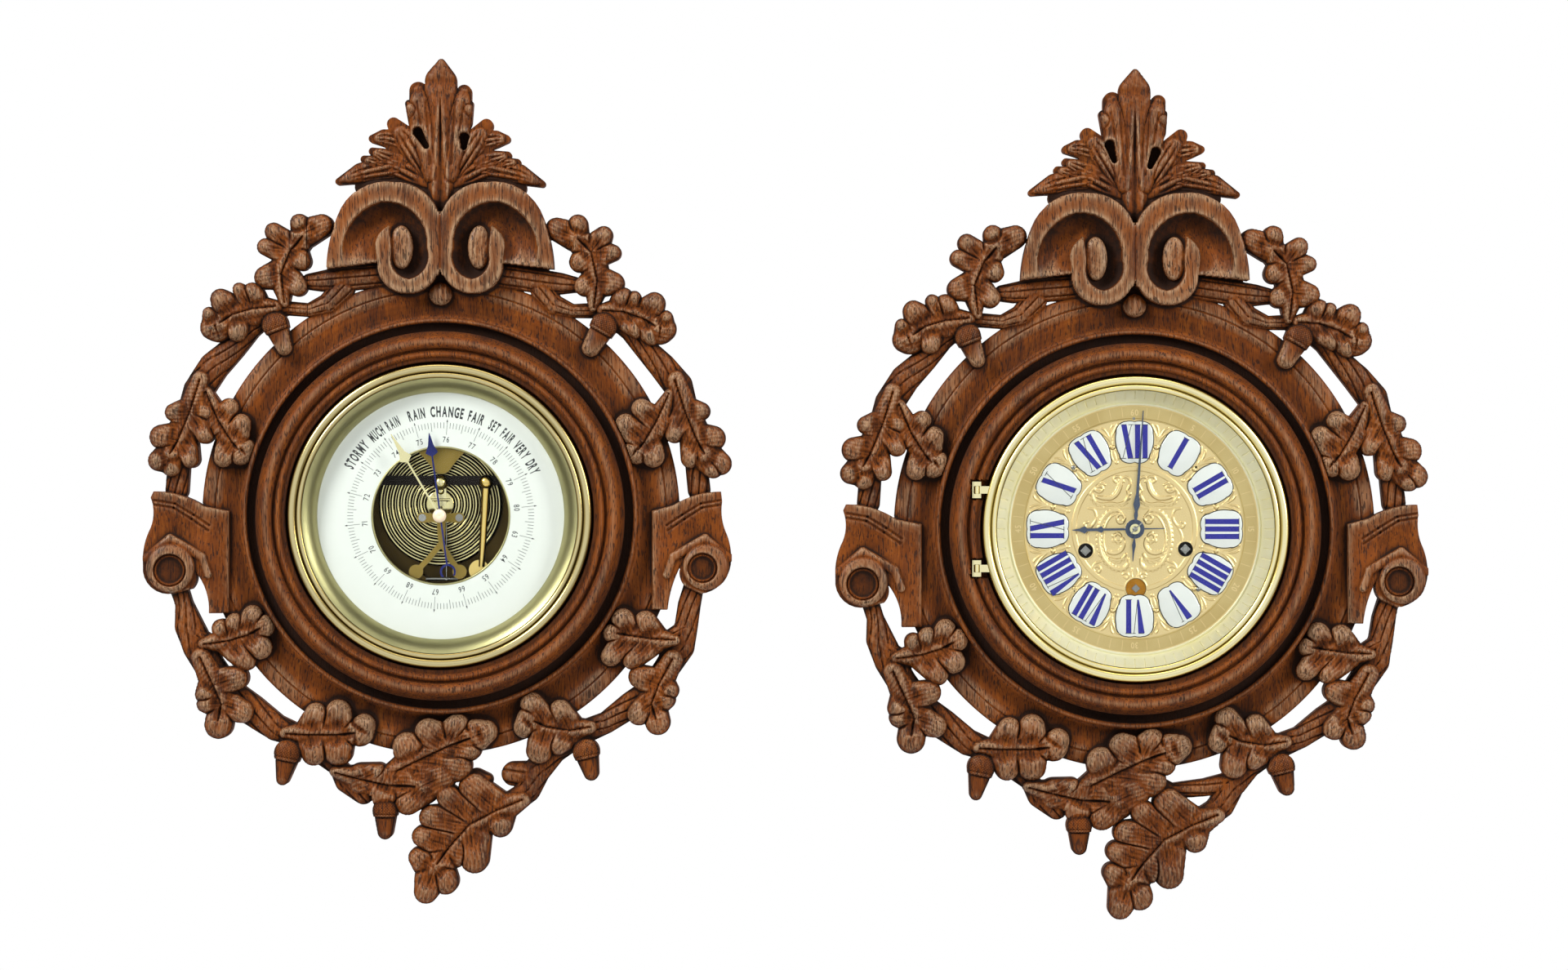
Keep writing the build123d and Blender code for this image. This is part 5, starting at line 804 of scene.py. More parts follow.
# Outline of the left scroll's block: each row is a midway point and an end point
scroll_foot_share = (-.483, 1.050)
scroll_outline_shares = (
    ((-.468, 1.170), (-.435, 1.275)),
    ((-.350, 1.385), (-.200, 1.420)),
    ((-.060, 1.370), (0, 1.270)),
)
scroll_curl_shares = (
    ((-.040, .985), (-.145, .945)),
    ((-.235, .985), (-.267, 1.080)),
)
scroll_waist_share = (0, 1.080)
# Side consoles: start point, then midway and end points; a straight side has no midway point
left_ear_start_share = (-.900, .020)
left_ear_shares = (
    (None, (-1.005, .040)),
    ((-1.100, .086), (-1.220, .104)),
    (None, (-1.232, .078)),
    ((-1.221, .000), (-1.242, -.070)),
    ((-1.262, -.140), (-1.265, -.210)),
    ((-1.235, -.300), (-1.130, -.330)),
    (None, (-1.060, -.312)),
    ((-1.040, -.275), (-1.044, -.234)),
    ((-1.000, -.310), (-.985, -.415)),
    (None, (-.900, -.415)),
)
right_ear_start_share = (.900, .020)
right_ear_shares = (
    (None, (.990, .045)),
    ((1.080, .086), (1.193, .103)),
    (None, (1.198, .060)),
    ((1.196, .000), (1.218, -.080)),
    ((1.235, -.150), (1.235, -.210)),
    ((1.200, -.285), (1.110, -.332)),
    (None, (1.040, -.300)),
    ((1.018, -.255), (1.022, -.212)),
    ((.985, -.300), (.965, -.400)),
    (None, (.900, -.400)),
)
ear_disc_shares = ((-1.148, -.222, .103), (1.130, -.218, .098))
ear_dish_shares = ((-1.150, -.232, .070), (1.115, -.222, .064))


LEAF_TOP, ACORN_TOP, BRANCH_TOP = 26.0, 27.0, 19.0


def chiselled(x, z, size=1.0):
    """The unevenness that a gouge leaves."""
    return size * (0.14 * np.sin(0.61 * x + 1.9 * np.sin(0.23 * z + 0.4)) * np.sin(0.53 * z + 1.3 * np.sin(0.31 * x))
                   + 0.08 * np.sin(1.37 * x + 0.8 * z + np.sin(0.9 * z)) * np.sin(1.21 * z - 0.5 * x))


def bump(value, middle, width):
    return np.exp(-((value - middle) / width) ** 2)


def domed(distance, radius, flat):
    """The round back of a band, from 1 on its middle line down toward its edge."""
    return np.sqrt(np.clip(1 - flat * np.clip(1 + distance / radius, 0, 1) ** 2, 0, 1))


def swelled(share, swell):
    x, z, radius = scaled(share)
    return (x, z, swell * radius)


def rolled(edge):
    """The drop toward a leaf's outline, like a quarter of a round."""
    depth = np.clip(-edge / 5.0, 0, 1)
    return 6.8 * (1 - np.sqrt(1 - (1 - depth) ** 2))


def carve_leaf(relief, midrib, lobes):
    """An oak leaf: a broad face that rolls down to its lobes, parted by creases, with an incised midrib."""
    rounds = [scaled(midrib[0])] + [swelled(share, midrib_swell_share) for share in midrib[1:]]
    limbs = list(zip(rounds, rounds[1:]))
    spokes = []
    for grows_from, *lobe in lobes:
        x, z, radius = rounds[grows_from]
        spokes.append(((x, z, lobe_root_share * radius), swelled(lobe, lobe_swell_share)))
    part, x, z = relief.window([c for pair in limbs + spokes for c in pair])
    edge, near, next_near, rib = (np.full(x.shape, FAR) for _ in range(4))
    swell, dished, veins, fibres, scored, step = (np.zeros_like(x) for _ in range(6))
    for a, b in spokes + limbs[-1:]:
        distance, along, side, share, radius = capsule(x, z, a, b)
        next_near = np.minimum(next_near, np.maximum(near, distance))
        near = np.minimum(near, distance)
        swell = np.maximum(swell, bump(np.hypot(x - b[0], z - b[1]), 0, 0.66 * b[2]))
        dished = np.maximum(dished, bump(share, 0.40, 0.30) * bump(side, 0, 0.62 * radius))
        on_lobe = (share > 0.02) * np.clip((0.80 - share) / 0.2, 0, 1)
        veins = np.maximum(veins, bump(side, 0, 0.45) * on_lobe)
        fibres = np.where(distance < near + 0.01, np.sin(2.1 * side + 0.7 * np.sin(0.4 * along)), fibres)
    for a, b in limbs:
        distance, along, side, _, _ = capsule(x, z, a, b)
        edge = np.minimum(edge, distance)
        run = hypot(b[0] - a[0], b[1] - a[1])
        rib = np.minimum(rib, np.hypot(side, along - np.clip(along, 0, run)))
        on = (along > -0.3) & (along < run * (0.8 if b is rounds[-1] else 1.0) + 0.3)
        scored = np.maximum(scored, bump(side, 0, 0.6) * on)
        step = np.where(on & (np.abs(side) < 9), np.sign(side) * bump(side, 0, 5.0), step)
    edge = np.minimum(edge, near)
    height = LEAF_TOP - 2.4 - rolled(edge) + 2.6 * swell - 2.6 * dished - 1.0 * bump(rib, 0, 3.0)
    crease = np.exp(-((next_near - near) / 1.0) ** 2) * np.clip((rib - 2.5) / 4, 0, 1)
    height = height - 2.3 * crease - 1.7 * scored + 1.0 * step - 0.8 * veins + 0.22 * fibres
    relief.lay(part, edge, height + chiselled(x, z, 1.5))


def carve_branch(relief, chain, rise, twist, ribs):
    """A ribbed branch. Over the twist's length its grooves move across by one."""
    rounds = [swelled(share, branch_swell_share) for share in chain]
    run = 0.0
    for a, b in zip(rounds, rounds[1:]):
        part, x, z = relief.window([a, b])
        distance, along, side, _, radius = capsule(x, z, a, b)
        dome = domed(distance, radius, 0.95)
        phase = pi * (ribs * side / radius + (run + along) / twist)
        height = rise - 0.8 - 6.5 * (1 - dome) - 1.8 * np.exp(-(np.sin(phase) / 0.30) ** 2) + chiselled(x, z, 1.6)
        relief.lay(part, distance, height)
        run += hypot(b[0] - a[0], b[1] - a[1])


def carve_acorn(relief, cup, nut):
    cup, nut = scaled(cup), scaled(nut)
    part, x, z = relief.window([cup, nut])
    distance, along, side, _, radius = capsule(x, z, cup, nut)
    run = hypot(nut[0] - cup[0], nut[1] - cup[1])
    dome = domed(distance, radius, 0.97)
    in_cup = along < 0.30 * run
    scales = 1.1 * np.abs(np.sin(1.5 * (side + along)) * np.sin(1.5 * (side - along)))
    height = np.where(in_cup, ACORN_TOP - 0.4 - 9.0 * (1 - dome) + scales, ACORN_TOP - 2.0 - 9.5 * (1 - dome))
    height = height - 1.4 * bump(along, 0.30 * run, 0.7) - 0.8 * bump(along, 0.16 * run, 0.5) * in_cup
    distance = distance + np.where(in_cup, 0, 0.10 * radius)
    relief.lay(part, distance, height)
    relief.tone[part] = np.where(distance < 0, np.where(in_cup, -0.22, -0.14), relief.tone[part])


def carve_crest(relief, eyes):
    """The leafage over the scrolls: swept fronds with hollow grooves, and a ribbed middle leaf."""
    circles = [swelled(share, crest_swell_share) for chain in crest_shares for share in chain]
    part, x, z = relief.window(circles)
    edge = np.full(x.shape, FAR)
    best, second = np.full(x.shape, -FAR), np.full(x.shape, -FAR)
    for number, chain in enumerate(crest_shares):
        rounds = [swelled(share, crest_swell_share) for share in chain]
        whole = sum(hypot(b[0] - a[0], b[1] - a[1]) for a, b in zip(rounds, rounds[1:]))
        run = 0.0
        middle = number < 5
        for a, b in zip(rounds, rounds[1:]):
            distance, along, side, _, radius = capsule(x, z, a, b)
            edge = np.minimum(edge, distance)
            here = np.clip(run + along, 0, whole) / whole
            dome = domed(distance, radius, 0.96)
            lift = (20.0 if middle else 17.6) + 1.6 * bump(here, 0.72, 0.3) - 2.0 * (here > 0.9) * (here - 0.9) * 10
            top = lift - 5.0 * (1 - dome)
            if not middle:
                fade = np.clip((0.9 - here) / 0.2, 0, 1) * np.clip((here - 0.12) / 0.1, 0, 1)
                turn = np.sign(b[0]) if b[0] else 1.0
                s = side * turn / radius
                grooves = 1.7 * bump(s, 0.30, 0.11) + 1.7 * bump(s, -0.22, 0.11) + 1.1 * bump(s, -0.66, 0.1)
                top = top - fade * grooves
            second = np.maximum(second, np.minimum(best, top))
            best = np.maximum(best, top)
            run += hypot(b[0] - a[0], b[1] - a[1])
    crease = np.exp(-(best - second) / 0.5) * (second > -50)
    height = best - 1.2 * crease
    share_z = z / PANEL
    rib = np.clip((1.79 - share_z) / 0.06, 0, 1) * (share_z > 1.3)
    spread = 5.4 * np.clip((1.86 - share_z) / 0.45, 0.25, 1)
    height = height + rib * (1.5 * bump(np.abs(x), spread, 1.5) - 2.1 * bump(x, 0, 0.36 * spread))
    for turn in (-1, 1):
        for foot, tip in (((.045, 1.50), (.062, 1.76)), ((.075, 1.60), (.100, 1.76))):
            a = (turn * foot[0] * PANEL, foot[1] * PANEL, 1.5)
            b = (turn * tip[0] * PANEL, tip[1] * PANEL, 0.9)
            distance = capsule(x, z, a, b)[0]
            height = height - 1.3 * np.exp(-(np.maximum(distance + 1.2, 0) / 1.0) ** 2)
    relief.lay(part, edge, height + chiselled(x, z, 1.2))
    for top, bottom in eyes:
        a, b = scaled((*top, 0.021)), scaled((*bottom, 0.012))
        part, x, z = relief.window([a, b], 4)
        distance = capsule(x, z, a, b)[0]
        relief.sink(part, distance, 9.0)


def carve_scrolls(relief):
    """The pair of scrolls: a flat band round a cove, curling in to a boss."""
    for turn in (-1, 1):
        block = outline(scroll_foot_share, scroll_outline_shares)
        block += outline(scroll_waist_share, scroll_curl_shares)
        cove = outline((-.405, 1.052), (((-.368, 1.262), (-.250, 1.338)), ((-.104, 1.285), (-.053, 1.140)),
                                        ((-.070, 1.040), (-.132, 1.004)), ((-.188, 1.032), (-.211, 1.105)),
                                        ((-.212, 1.170), (-.222, 1.226)), ((-.262, 1.190), (-.271, 1.130)),
                                        (None, (-.262, 1.056))))
        if turn > 0:
            block = [(-x, z) for x, z in block]
            cove = [(-x, z) for x, z in cove]
        part, x, z = relief.window([(turn * 42, 208, 50)], 3)
        edge = polygon_distance(x, z, block)
        band = 26.8 - 1.1 * np.exp(np.minimum(edge, 0) / 0.8) + chiselled(x, z, 0.5)
        relief.lay(part, edge, band)
        inner = polygon_distance(x, z, cove)
        across = np.clip(-inner / 10.0, 0, 1)
        # the cove runs out shallow toward the foot of the scroll
        outward = np.clip((np.abs(x) - 26) / 34, 0, 1) * np.clip((218 - z) / 30, 0, 1)
        deep = 11.5 * (1 - 0.72 * outward)
        floor = 26.3 - deep * np.sqrt(1 - (1 - across) ** 2)
        relief.sink(part, inner, floor + chiselled(x, z, 0.8))
        # painted shade: the cove is darker deep under the band and paler where it runs out shallow
        relief.tone[part] = np.where(inner < 0, 0.20 * outward - 0.04, relief.tone[part])
        boss_x, boss_z = turn * 0.166 * PANEL, 1.142 * PANEL
        reach = np.hypot((x - boss_x) / 8.6, (z - boss_z) / 16.2)
        boss = 24.5 - 4.0 * (1 - np.sqrt(np.clip(1 - 0.95 * np.minimum(reach, 1) ** 4, 0, 1)))
        relief.lay(part, (reach - 1) * 8.6, boss + chiselled(x, z, 1.6))
        relief.tone[part] = np.where(reach < 1, 0.12, relief.tone[part])
    half_web = ((-.46, .97), (-.46, 1.06), (-.10, 1.10), (-.10, 1.30))
    web = [scaled(place) for place in half_web] + [scaled((-x, z)) for x, z in reversed(half_web)]
    part, x, z = relief.window([(0, 1.1 * PANEL, 0.48 * PANEL)], 2)
    relief.lay(part, polygon_distance(x, z, web), 13.0 + chiselled(x, z))
    foot = (0, 0.945 * PANEL, 0.05 * PANEL)
    part, x, z = relief.window([foot], 2)
    reach = np.hypot(x, z - foot[1]) / foot[2]
    dome = 15.0 + 6.0 * np.sqrt(np.clip(1 - 0.95 * np.minimum(reach, 1) ** 2, 0, 1))
    relief.lay(part, (reach - 1) * 8.7, dome - 0.5 * np.abs(np.sin(0.75 * x)))


def carve_ear(relief, start, rows, disc, dish, turn):
    """A side console: a flaring block with scored lines, over a rolled disc."""
    points = outline(start, rows)
    part, x, z = relief.window([(turn * 1.09 * PANEL, -.13 * PANEL, 0.30 * PANEL)], 4)
    edge = polygon_distance(x, z, points)
    # the rows below are the left console's; the right one stands a little nearer the middle
    s, t = np.abs(x) / PANEL + (0.022 if turn > 0 else 0), z / PANEL
    shift = 0.024 if turn > 0 else 0
    height = 21.4 - 0.9 * np.exp(np.minimum(edge, 0) / 0.7) - 4.6 * np.clip((1.03 - s) / 0.12, 0, 1) ** 1.5
    # double scored lines that follow the top edge and the outer side
    for row in (((1.215, .066), (1.130, .052), (1.050, .004), (.985, -.040)),
                ((1.222, .048), (1.135, .034), (1.060, -.014), (.990, -.062))):
        for (ax, az), (bx, bz) in zip(row, row[1:]):
            distance = capsule(s, t, (ax, az, .0020), (bx, bz, .0021))[0] * PANEL
            height = height - 1.2 * np.exp(-(np.maximum(distance, 0) / 0.55) ** 2) * (distance < 2)
    hollow = bump(t, -.070, .085) * bump(s, 1.10, .12)
    height = height - 4.2 * hollow
    relief.lay(part, edge, height + chiselled(x, z, 0.7))
    for a, b, size in (((1.250, -.180), (1.150, -.098), .020), ((1.150, -.098), (1.015, -.175), .020),
                       ((1.015, -.175), (.988, -.250), .018)):
        rounds = [(turn * (p[0] - shift) * PANEL, p[1] * PANEL, size * grow * PANEL)
                  for p, grow in ((a, 1), (b, 0.98))]
        distance, _, _, _, radius = capsule(x, z, *rounds)
        relief.lay(part, distance, 20.5 + 2.6 * domed(distance, radius, 0.95))
    cx, cz, radius = scaled(disc)
    reach = np.hypot(x - cx, z - cz)
    rim = 26.6 - 5.0 * (1 - np.sqrt(np.clip(1 - 0.9 * np.clip(reach / radius, 0, 1) ** 4, 0, 1)))
    relief.lay(part, reach - radius, rim)
    dx, dz, dish_radius = scaled(dish)
    inner = np.hypot(x - dx, z - dz)
    relief.sink(part, inner - dish_radius, 22.4 + 1.9 * bump(inner, dish_radius - 1.6, 0.9) + chiselled(x, z, 0.8))
    # painted shade inside the sunk dish
    relief.tone[part] = np.where(inner < dish_radius - 1.0, -0.20, relief.tone[part])


def carve_panel(relief):
    """The round panel: a coved face, a scored line near its edge."""
    reach = np.hypot(relief.X, relief.Z)
    profile_r = [140.0, 147.0, 149.5, 152.5, 156.6, 160.5, 163.5, 166.3, 167.3, 168.3, 173.5, 176.0, 177.0, 180.0]
    profile_w = [14.9, 14.9, 13.6, 12.8, 12.6, 12.9, 13.6, 14.4, 13.1, 14.5, 14.2, 13.5, 12.2, 12.0]
    height = np.interp(reach, profile_r, profile_w)
    edge = np.maximum(reach - panel_edge_share * PANEL, RING_SEAT - reach)
    relief.lay(np.s_[:, :], edge, height + chiselled(relief.X, relief.Z, 0.35))
    # painted shade in the cove next to the ring, and the outer flat made paler
    relief.tone = np.interp(reach, (146, 149, 157, 164, 178, 182), (0, -0.10, -0.06, 0.14, 0.12, 0))


def carve_front(unit, loops, eyes):
    relief = Relief(222.0, -294.0, 348.0, GRID)
    carve_panel(relief)
    bare, panel_tone = relief.height.copy(), relief.tone.copy()
    reach = np.hypot(relief.X, relief.Z)
    for chain in branch_shares:
        flat = abs(chain[0][0]) < 0.5 and chain[0][1] > 0.9
        carve_branch(relief, chain, BRANCH_TOP, 400.0 if flat else 30.0, 1.5)
    for chain in loops:
        carve_branch(relief, chain, 18.5, 60.0, 1.0)
    for cup, nut in acorn_shares:
        carve_acorn(relief, cup, nut)
    for midrib, lobes in leaf_shares:
        carve_leaf(relief, midrib, lobes)
    carve_crest(relief, eyes)
    starts, rows = (left_ear_start_share, right_ear_start_share), (left_ear_shares, right_ear_shares)
    for shares in zip(starts, rows, ear_disc_shares, ear_dish_shares, (-1, 1)):
        carve_ear(relief, *shares)
    carve_scrolls(relief)
    # the panel's tone, painted shade in its cove and a paler outer flat, goes where another form covers it
    covered = (relief.height > bare + 0.5) & (reach < 181) & (panel_tone == relief.tone)
    relief.tone = np.where(covered, 0, relief.tone)
    # the ring moulding's seat stays clear
    relief.edge = np.maximum(relief.edge, RING_SEAT - reach)
    relief.height = np.where(reach < RING_OUTSIDE, np.minimum(relief.height, RING_SEAT_HEIGHT), relief.height)
    boards = [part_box(f"{unit.name}_{side}_board") for side in ("left", "right")]
    room = (boards[0][0][0] * 1000 - unit.x, boards[1][1][0] * 1000 - unit.x)
    relief.edge = np.maximum(relief.edge, np.maximum(room[0] - relief.X, relief.X - room[1]) + 0.1)
    # painted shade and sheen: each point's height against its blurred surroundings, plus the tone, darkens hollows
    # and lightens tops
    inside = (relief.edge < 0.5).astype(float)
    local = relief.height
    total = np.zeros_like(local)
    for sigma, weight in ((1.3, 0.55), (3.2, 0.5), (9.0, 0.25)):
        cells = sigma / relief.step
        mean = blurred(local * inside, cells) / np.maximum(blurred(inside, cells), 0.05)
        total += weight * (local - mean) / (0.45 * sigma + 0.8)
    relief.shade = np.clip(0.5 + 0.42 * total + relief.tone, 0, 1)
    return relief


def crack_gap(x, z):
    """The open glue line at the upper left of the barometer."""
    here = np.abs(x + SPLIT) < 0.1
    run = np.clip((z - 108) / 40, 0, 1) * np.clip((224 - z) / 6, 0, 1)
    return np.where(here, -0.55 * run, 0)


fronts = ((clock, whole_loop_shares, (((-.105, 1.625), (-.085, 1.560)), ((.090, 1.595), (.066, 1.535)))),
          (barometer, broken_loop_shares, (((-.098, 1.635), (-.062, 1.575)), ((.100, 1.612), (.098, 1.570)))))
for unit, loops, eyes in fronts:
    relief = carve_front(unit, loops, eyes)
    for side, low, high in (("left", -999, -SPLIT), ("centre", -SPLIT, SPLIT), ("right", SPLIT, 999)):
        crack = crack_gap if unit is barometer and side == "left" else None
        relief.piece(f"{unit.name}_{side}_carving", unit, unit.back, unit.back, low, high, OAK, "cases", "carved_oak",
                     f"{unit.name}_{side}_board", crack=crack)
    revolve(f"{unit.name}_board_ring", unit, [(88, unit.back), (88, unit.back + 14), (142, unit.back + 14),
                                              (142, unit.back)], OAK, "cases", shade=[0.5] * 4)


# Turned mouldings, bezels and rims. Profiles are (radius, height over the ledge).

def section(first, *rows):
    """A profile from lines and arcs: each row is an end point, or the midway and end points of an arc."""
    points = [first]
    for row in rows:
        points += arc(points[-1], *row, steps=10) if isinstance(row[0], tuple) else [row]
    return points


def raised(profile, ledge):
    return [(r, ledge + w) for r, w in profile]


RING = section((113.9, 0), (113.9, 15.9), (114.5, 16.5), (116.8, 16.5), ((119.7, 18.5), (122.6, 16.5)), (124, 16),
               ((128.6, 21.98), (133.4, 16)), ((135.4, 14.2), (136.6, 11)), (136.6, 3), (142.6, 3), (142.6, 8),
               ((144.6, 10), (146.6, 8)), (146.6, 0))
RING_SHADE_R = (113.9, 116.8, 119.7, 122.6, 124, 128.6, 133.4, 136.5, 136.7, 142.5, 143.2, 144.8, 146.6)
RING_SHADE = (0.24, 0.30, 0.60, 0.26, 0.38, 0.68, 0.40, 0.30, 0.05, 0.05, 0.45, 0.66, 0.42)
BEZEL = section((113, 12.4), (113, 15.5), ((110, 19), (106.1, 17.3)), ((103.95, 18.6), (101.8, 17.3)), (101.8, 16),
                (104.3, 16), (104.3, 12.4))
KNUCKLES = (-28.8, 28.8)
KNUCKLE_LENGTH = 5.4
HINGE_X, HINGE_ROOT_X, HINGE_AXIS = -116.6, -104.6, 94.0


def notched(points):
    """Room for the two hinge knuckles in the inner bead of the clock's ring."""
    near_hinge = (points[:, 0] > -121.1) & (points[:, 0] < HINGE_ROOT_X)
    for z in KNUCKLES:
        cut = near_hinge & (np.abs(points[:, 2] - clock.z - z) < 7)
        points[cut, 1] = np.minimum(points[cut, 1], 89.2)


for unit, ledge, body in ((clock, CLOCK_LEDGE, "clock_bezel"), (barometer, BAROMETER_LEDGE, "cases")):
    profile = raised(RING, ledge)
    revolve(f"{unit.name}_ring_turned", unit, profile, TURNED, "cases", 720,
            shade=np.interp([r for r, w in profile], RING_SHADE_R, RING_SHADE), replaces=f"{unit.name}_ring_moulding",
            reshape=notched if unit is clock else None)
    finish = BRASS if unit is clock else BRASS_DEEP
    revolve(f"{unit.name}_bezel_turned", unit, raised(BEZEL, ledge), finish, body, 240,
            replaces=f"{unit.name}_bezel")
revolve("barometer_rim_spun", barometer,
        raised(section((91.5, 1.2), (91.5, 1.9), ((96.2, 8.4), (102.9, 12.4)), (112.4, 12.4), (112.4, 11.8),
                       (103.3, 11.8), ((97.2, 8), (92.3, 1.2))), BAROMETER_LEDGE), BRASS_RIM, "cases", 240,
        replaces="barometer_dial_rim")
FLUTES = 84


def fluted(points):
    """Broad flat flutes on the slope of the reflector, parted by narrow slits."""
    reach = np.hypot(points[:, 0] - clock.x, points[:, 2] - clock.z)
    turn = np.arctan2(points[:, 2] - clock.z, points[:, 0] - clock.x)
    on = np.clip((reach - 95.6) / 0.5, 0, 1) * np.clip((103.4 - reach) / 0.3, 0, 1)
    across = np.abs((turn * FLUTES / (2 * pi)) % 1 - 0.5) * 2
    points[:, 1] -= on * (0.9 * np.exp(-((1 - across) / 0.07) ** 2) + 0.25 * across ** 2)


REFLECTOR = section((91.2, 1.2), (91.2, 1.7), ((92.1, 2.7), (93.0, 2.0)), (93.5, 1.6), (94.3, 2.6), (95.6, 4.0),
                    (96.1, 4.5), (98.4, 6.9), (100.9, 9.5), (103.0, 11.7), (103.4, 12.0), (112.4, 12.0),
                    (112.4, 11.4), (103.7, 11.4), (94.6, 1.2))
revolve("clock_reflector_fluted", clock, raised(REFLECTOR, CLOCK_LEDGE), CREAM_GILT, "cases",
        FLUTES * (20), reshape=fluted, replaces="clock_reflector_ring")
# painted shade: a brown stroke down each slit between the flutes
slits = [(polar(96.0, (index + 0.5) * 360 / FLUTES), polar(103.2, (index + 0.5) * 360 / FLUTES), 0.5, 0.6)
         for index in range(FLUTES)]
bars("clock_reflector_slits", clock, slits, (CLOCK_LEDGE + 4.3, CLOCK_LEDGE + 11.75), SLIT_SHADE, "cases")
for level, z in zip(("low", "high"), KNUCKLES):
    barrel = Unit("knuckle", HINGE_X, clock.z + z, 0)
    prism(f"clock_bezel_barrel_{level}", barrel, 2.2, KNUCKLE_LENGTH, HINGE_AXIS, BRASS, "clock_bezel")
    low, high = -KNUCKLE_LENGTH / 2, KNUCKLE_LENGTH / 2
    corners = [(HINGE_X, low), (HINGE_ROOT_X, low), (HINGE_ROOT_X, high), (HINGE_X, high)]
    plate(f"clock_bezel_leaf_{level}", Unit("leaf", 0, clock.z + z, 0), [corners], HINGE_AXIS - 1.5, HINGE_AXIS,
          BRASS, "clock_bezel")


# Barometer dial: the card, its scale and words

revolve("barometer_card", barometer, [(51, 48), (51, 49.2), (112, 49.2), (112, 48)], CARD, "cases", 240,
        replaces="barometer_dial")
revolve("barometer_card_bush", barometer,
        section((50.1, 48), (50.1, 49.3), ((50.8, 49.8), (51.6, 49.25)), (51.6, 48)),
        BRASS_RIM, "cases", 200)
# The height just over the card. The scale has a stroke every 2 degrees and a number every 10 strokes.
ON_CARD = 49.25
SCALE_STEP = 2.0
SCALE_START = 4.0
PER_NUMBER = 10
strokes, heads = [], []
for index in range(180):
    bearing = SCALE_START + index * SCALE_STEP
    if index % PER_NUMBER == 0:
        strokes.append((polar(60.2, bearing), polar(70.4, bearing), 0.28, 0.28))
        heads.append((polar(69.6, bearing), polar(71.6, bearing), 1.15, 0.15))
    else:
        foot = 62.6 if index % PER_NUMBER == PER_NUMBER / 2 else 64.9
        strokes.append((polar(foot, bearing), polar(69.2, bearing), 0.32, 0.32))
bars("barometer_scale", barometer, strokes, ON_CARD, INK_LIGHT, "cases")
bars("barometer_scale_heads", barometer, heads, ON_CARD, INK, "cases")
LOWEST = 63
for index in range(18):
    number = LOWEST + (index + 13) % 18
    lettering(f"barometer_number_{number}", barometer, str(number), 54.6, SCALE_START + 20 * index, 4.3, 0.74, 0.35,
              ON_CARD, INK_LIGHT, "cases", 0.008)
WORDS = (("STORMY", -54, 0.43), ("MUCH RAIN", -33, 0.33), ("RAIN", -13.5, 0.42), ("CHANGE", 3.5, 0.48),
         ("FAIR", 20, 0.44), ("SET FAIR", 36, 0.36), ("VERY DRY", 56, 0.38))
for word, bearing, width in WORDS:
    lettering("barometer_word_" + word.lower().replace(" ", "_"), barometer, word, 73.6, bearing, 7.6, width, 0.5,
              ON_CARD, INK, "cases", 0.035)

# The works behind the card

CAPSULE = Unit("capsule", -514.2, -94.0, 0)
profile = [(0.01, 6.0), (46.2, 6.0), (46.2, 22.0)]
for index in range(8):
    r, lift = 45.4 - 4.3 * index, 0.45 * index
    profile += arc((r, 24.6 + lift), (r - 1.2, 26.6 + lift), (r - 2.4, 24.9 + lift), 5)
    profile += arc((r - 2.4, 24.9 + lift), (r - 3.35, 23.5 + lift), (r - 4.25, 25.0 + lift), 4)
profile += [(9.6, 29.0), (0.01, 29.6)]
revolve("barometer_capsule_pressed", CAPSULE, profile, BRASS_GREEN, "cases", 160, smooth=60,
        replaces="barometer_capsule")
revolve("barometer_knob_domed", Unit("knob", barometer.x, barometer.z, 0),
        section((0.01, 64.3), (4.2, 64.3), (5.0, 65.1), ((3.7, 67.1), (0.01, 67.5))),
        PEARL, "set_pointer", 64, replaces="barometer_set_knob")


# Clock dial: an embossed plate, enamel cartouches, numerals and a minute ring

def smooth_path(points):
    """Places along a smooth curve through the points."""
    per = 8
    rows = [points[0]] + list(points) + [points[-1]]
    path = []
    for a, b, c, d in zip(rows, rows[1:], rows[2:], rows[3:]):
        for step in range(per):
            t = step / per
            path.append(tuple(0.5 * (2 * q + (r - p) * t + (2 * p - 5 * q + 4 * r - s) * t * t
                                     + (3 * q - p - 3 * r + s) * t ** 3) for p, q, r, s in zip(a, b, c, d)))
    return path + [points[-1]]


def emboss(relief, points, width, rise, taper=(0.6, 0.6), cleft=0.0):
    """A rounded ridge along a smooth curve. A cleft makes it a double line."""
    path = smooth_path(points)
    count = len(path) - 1
    for index, (a, b) in enumerate(zip(path, path[1:])):
        here = (index + 0.5) / count
        size = width * min(1, taper[0] + here * 4, taper[1] + (1 - here) * 4)
        part, x, z = relief.window([(*a, size + 0.6), (*b, size + 0.6)])
        distance = capsule(x, z, (*a, 0.001), (*b, 0.001))[0] / size
        top = rise * np.sqrt(np.clip(1 - distance ** 2, 0, 1)) - cleft * bump(distance, 0, 0.32)
        old = relief.height[part]
        relief.height[part] = np.where(distance < 1, np.maximum(old, PLATE + top), old)


def leafy(relief, points, size, side):
    """Small curled leaves along a scroll, but for its two ends."""
    path = smooth_path(points)
    run = 0.0
    for index in range(1, len(path) - 1):
        a, b = path[index], path[index + 1]
        run += hypot(b[0] - a[0], b[1] - a[1])
        here = index / len(path)
        if run < LEAF_SPACING or here < 0.1 or here > 0.9:
            continue
        run = 0.0
        turn = atan2(b[1] - a[1], b[0] - a[0])
        reach = size * (1 - 0.45 * abs(2 * here - 1))
        steps = [(a[0] + reach * s * cos(turn + side * lean), a[1] + reach * s * sin(turn + side * lean))
                 for s, lean in ((0.1, 1.0), (0.45, 0.95), (0.8, 0.7), (1.05, 0.4))]
        emboss(relief, steps, 0.75, 0.42, (0.9, 0.4))


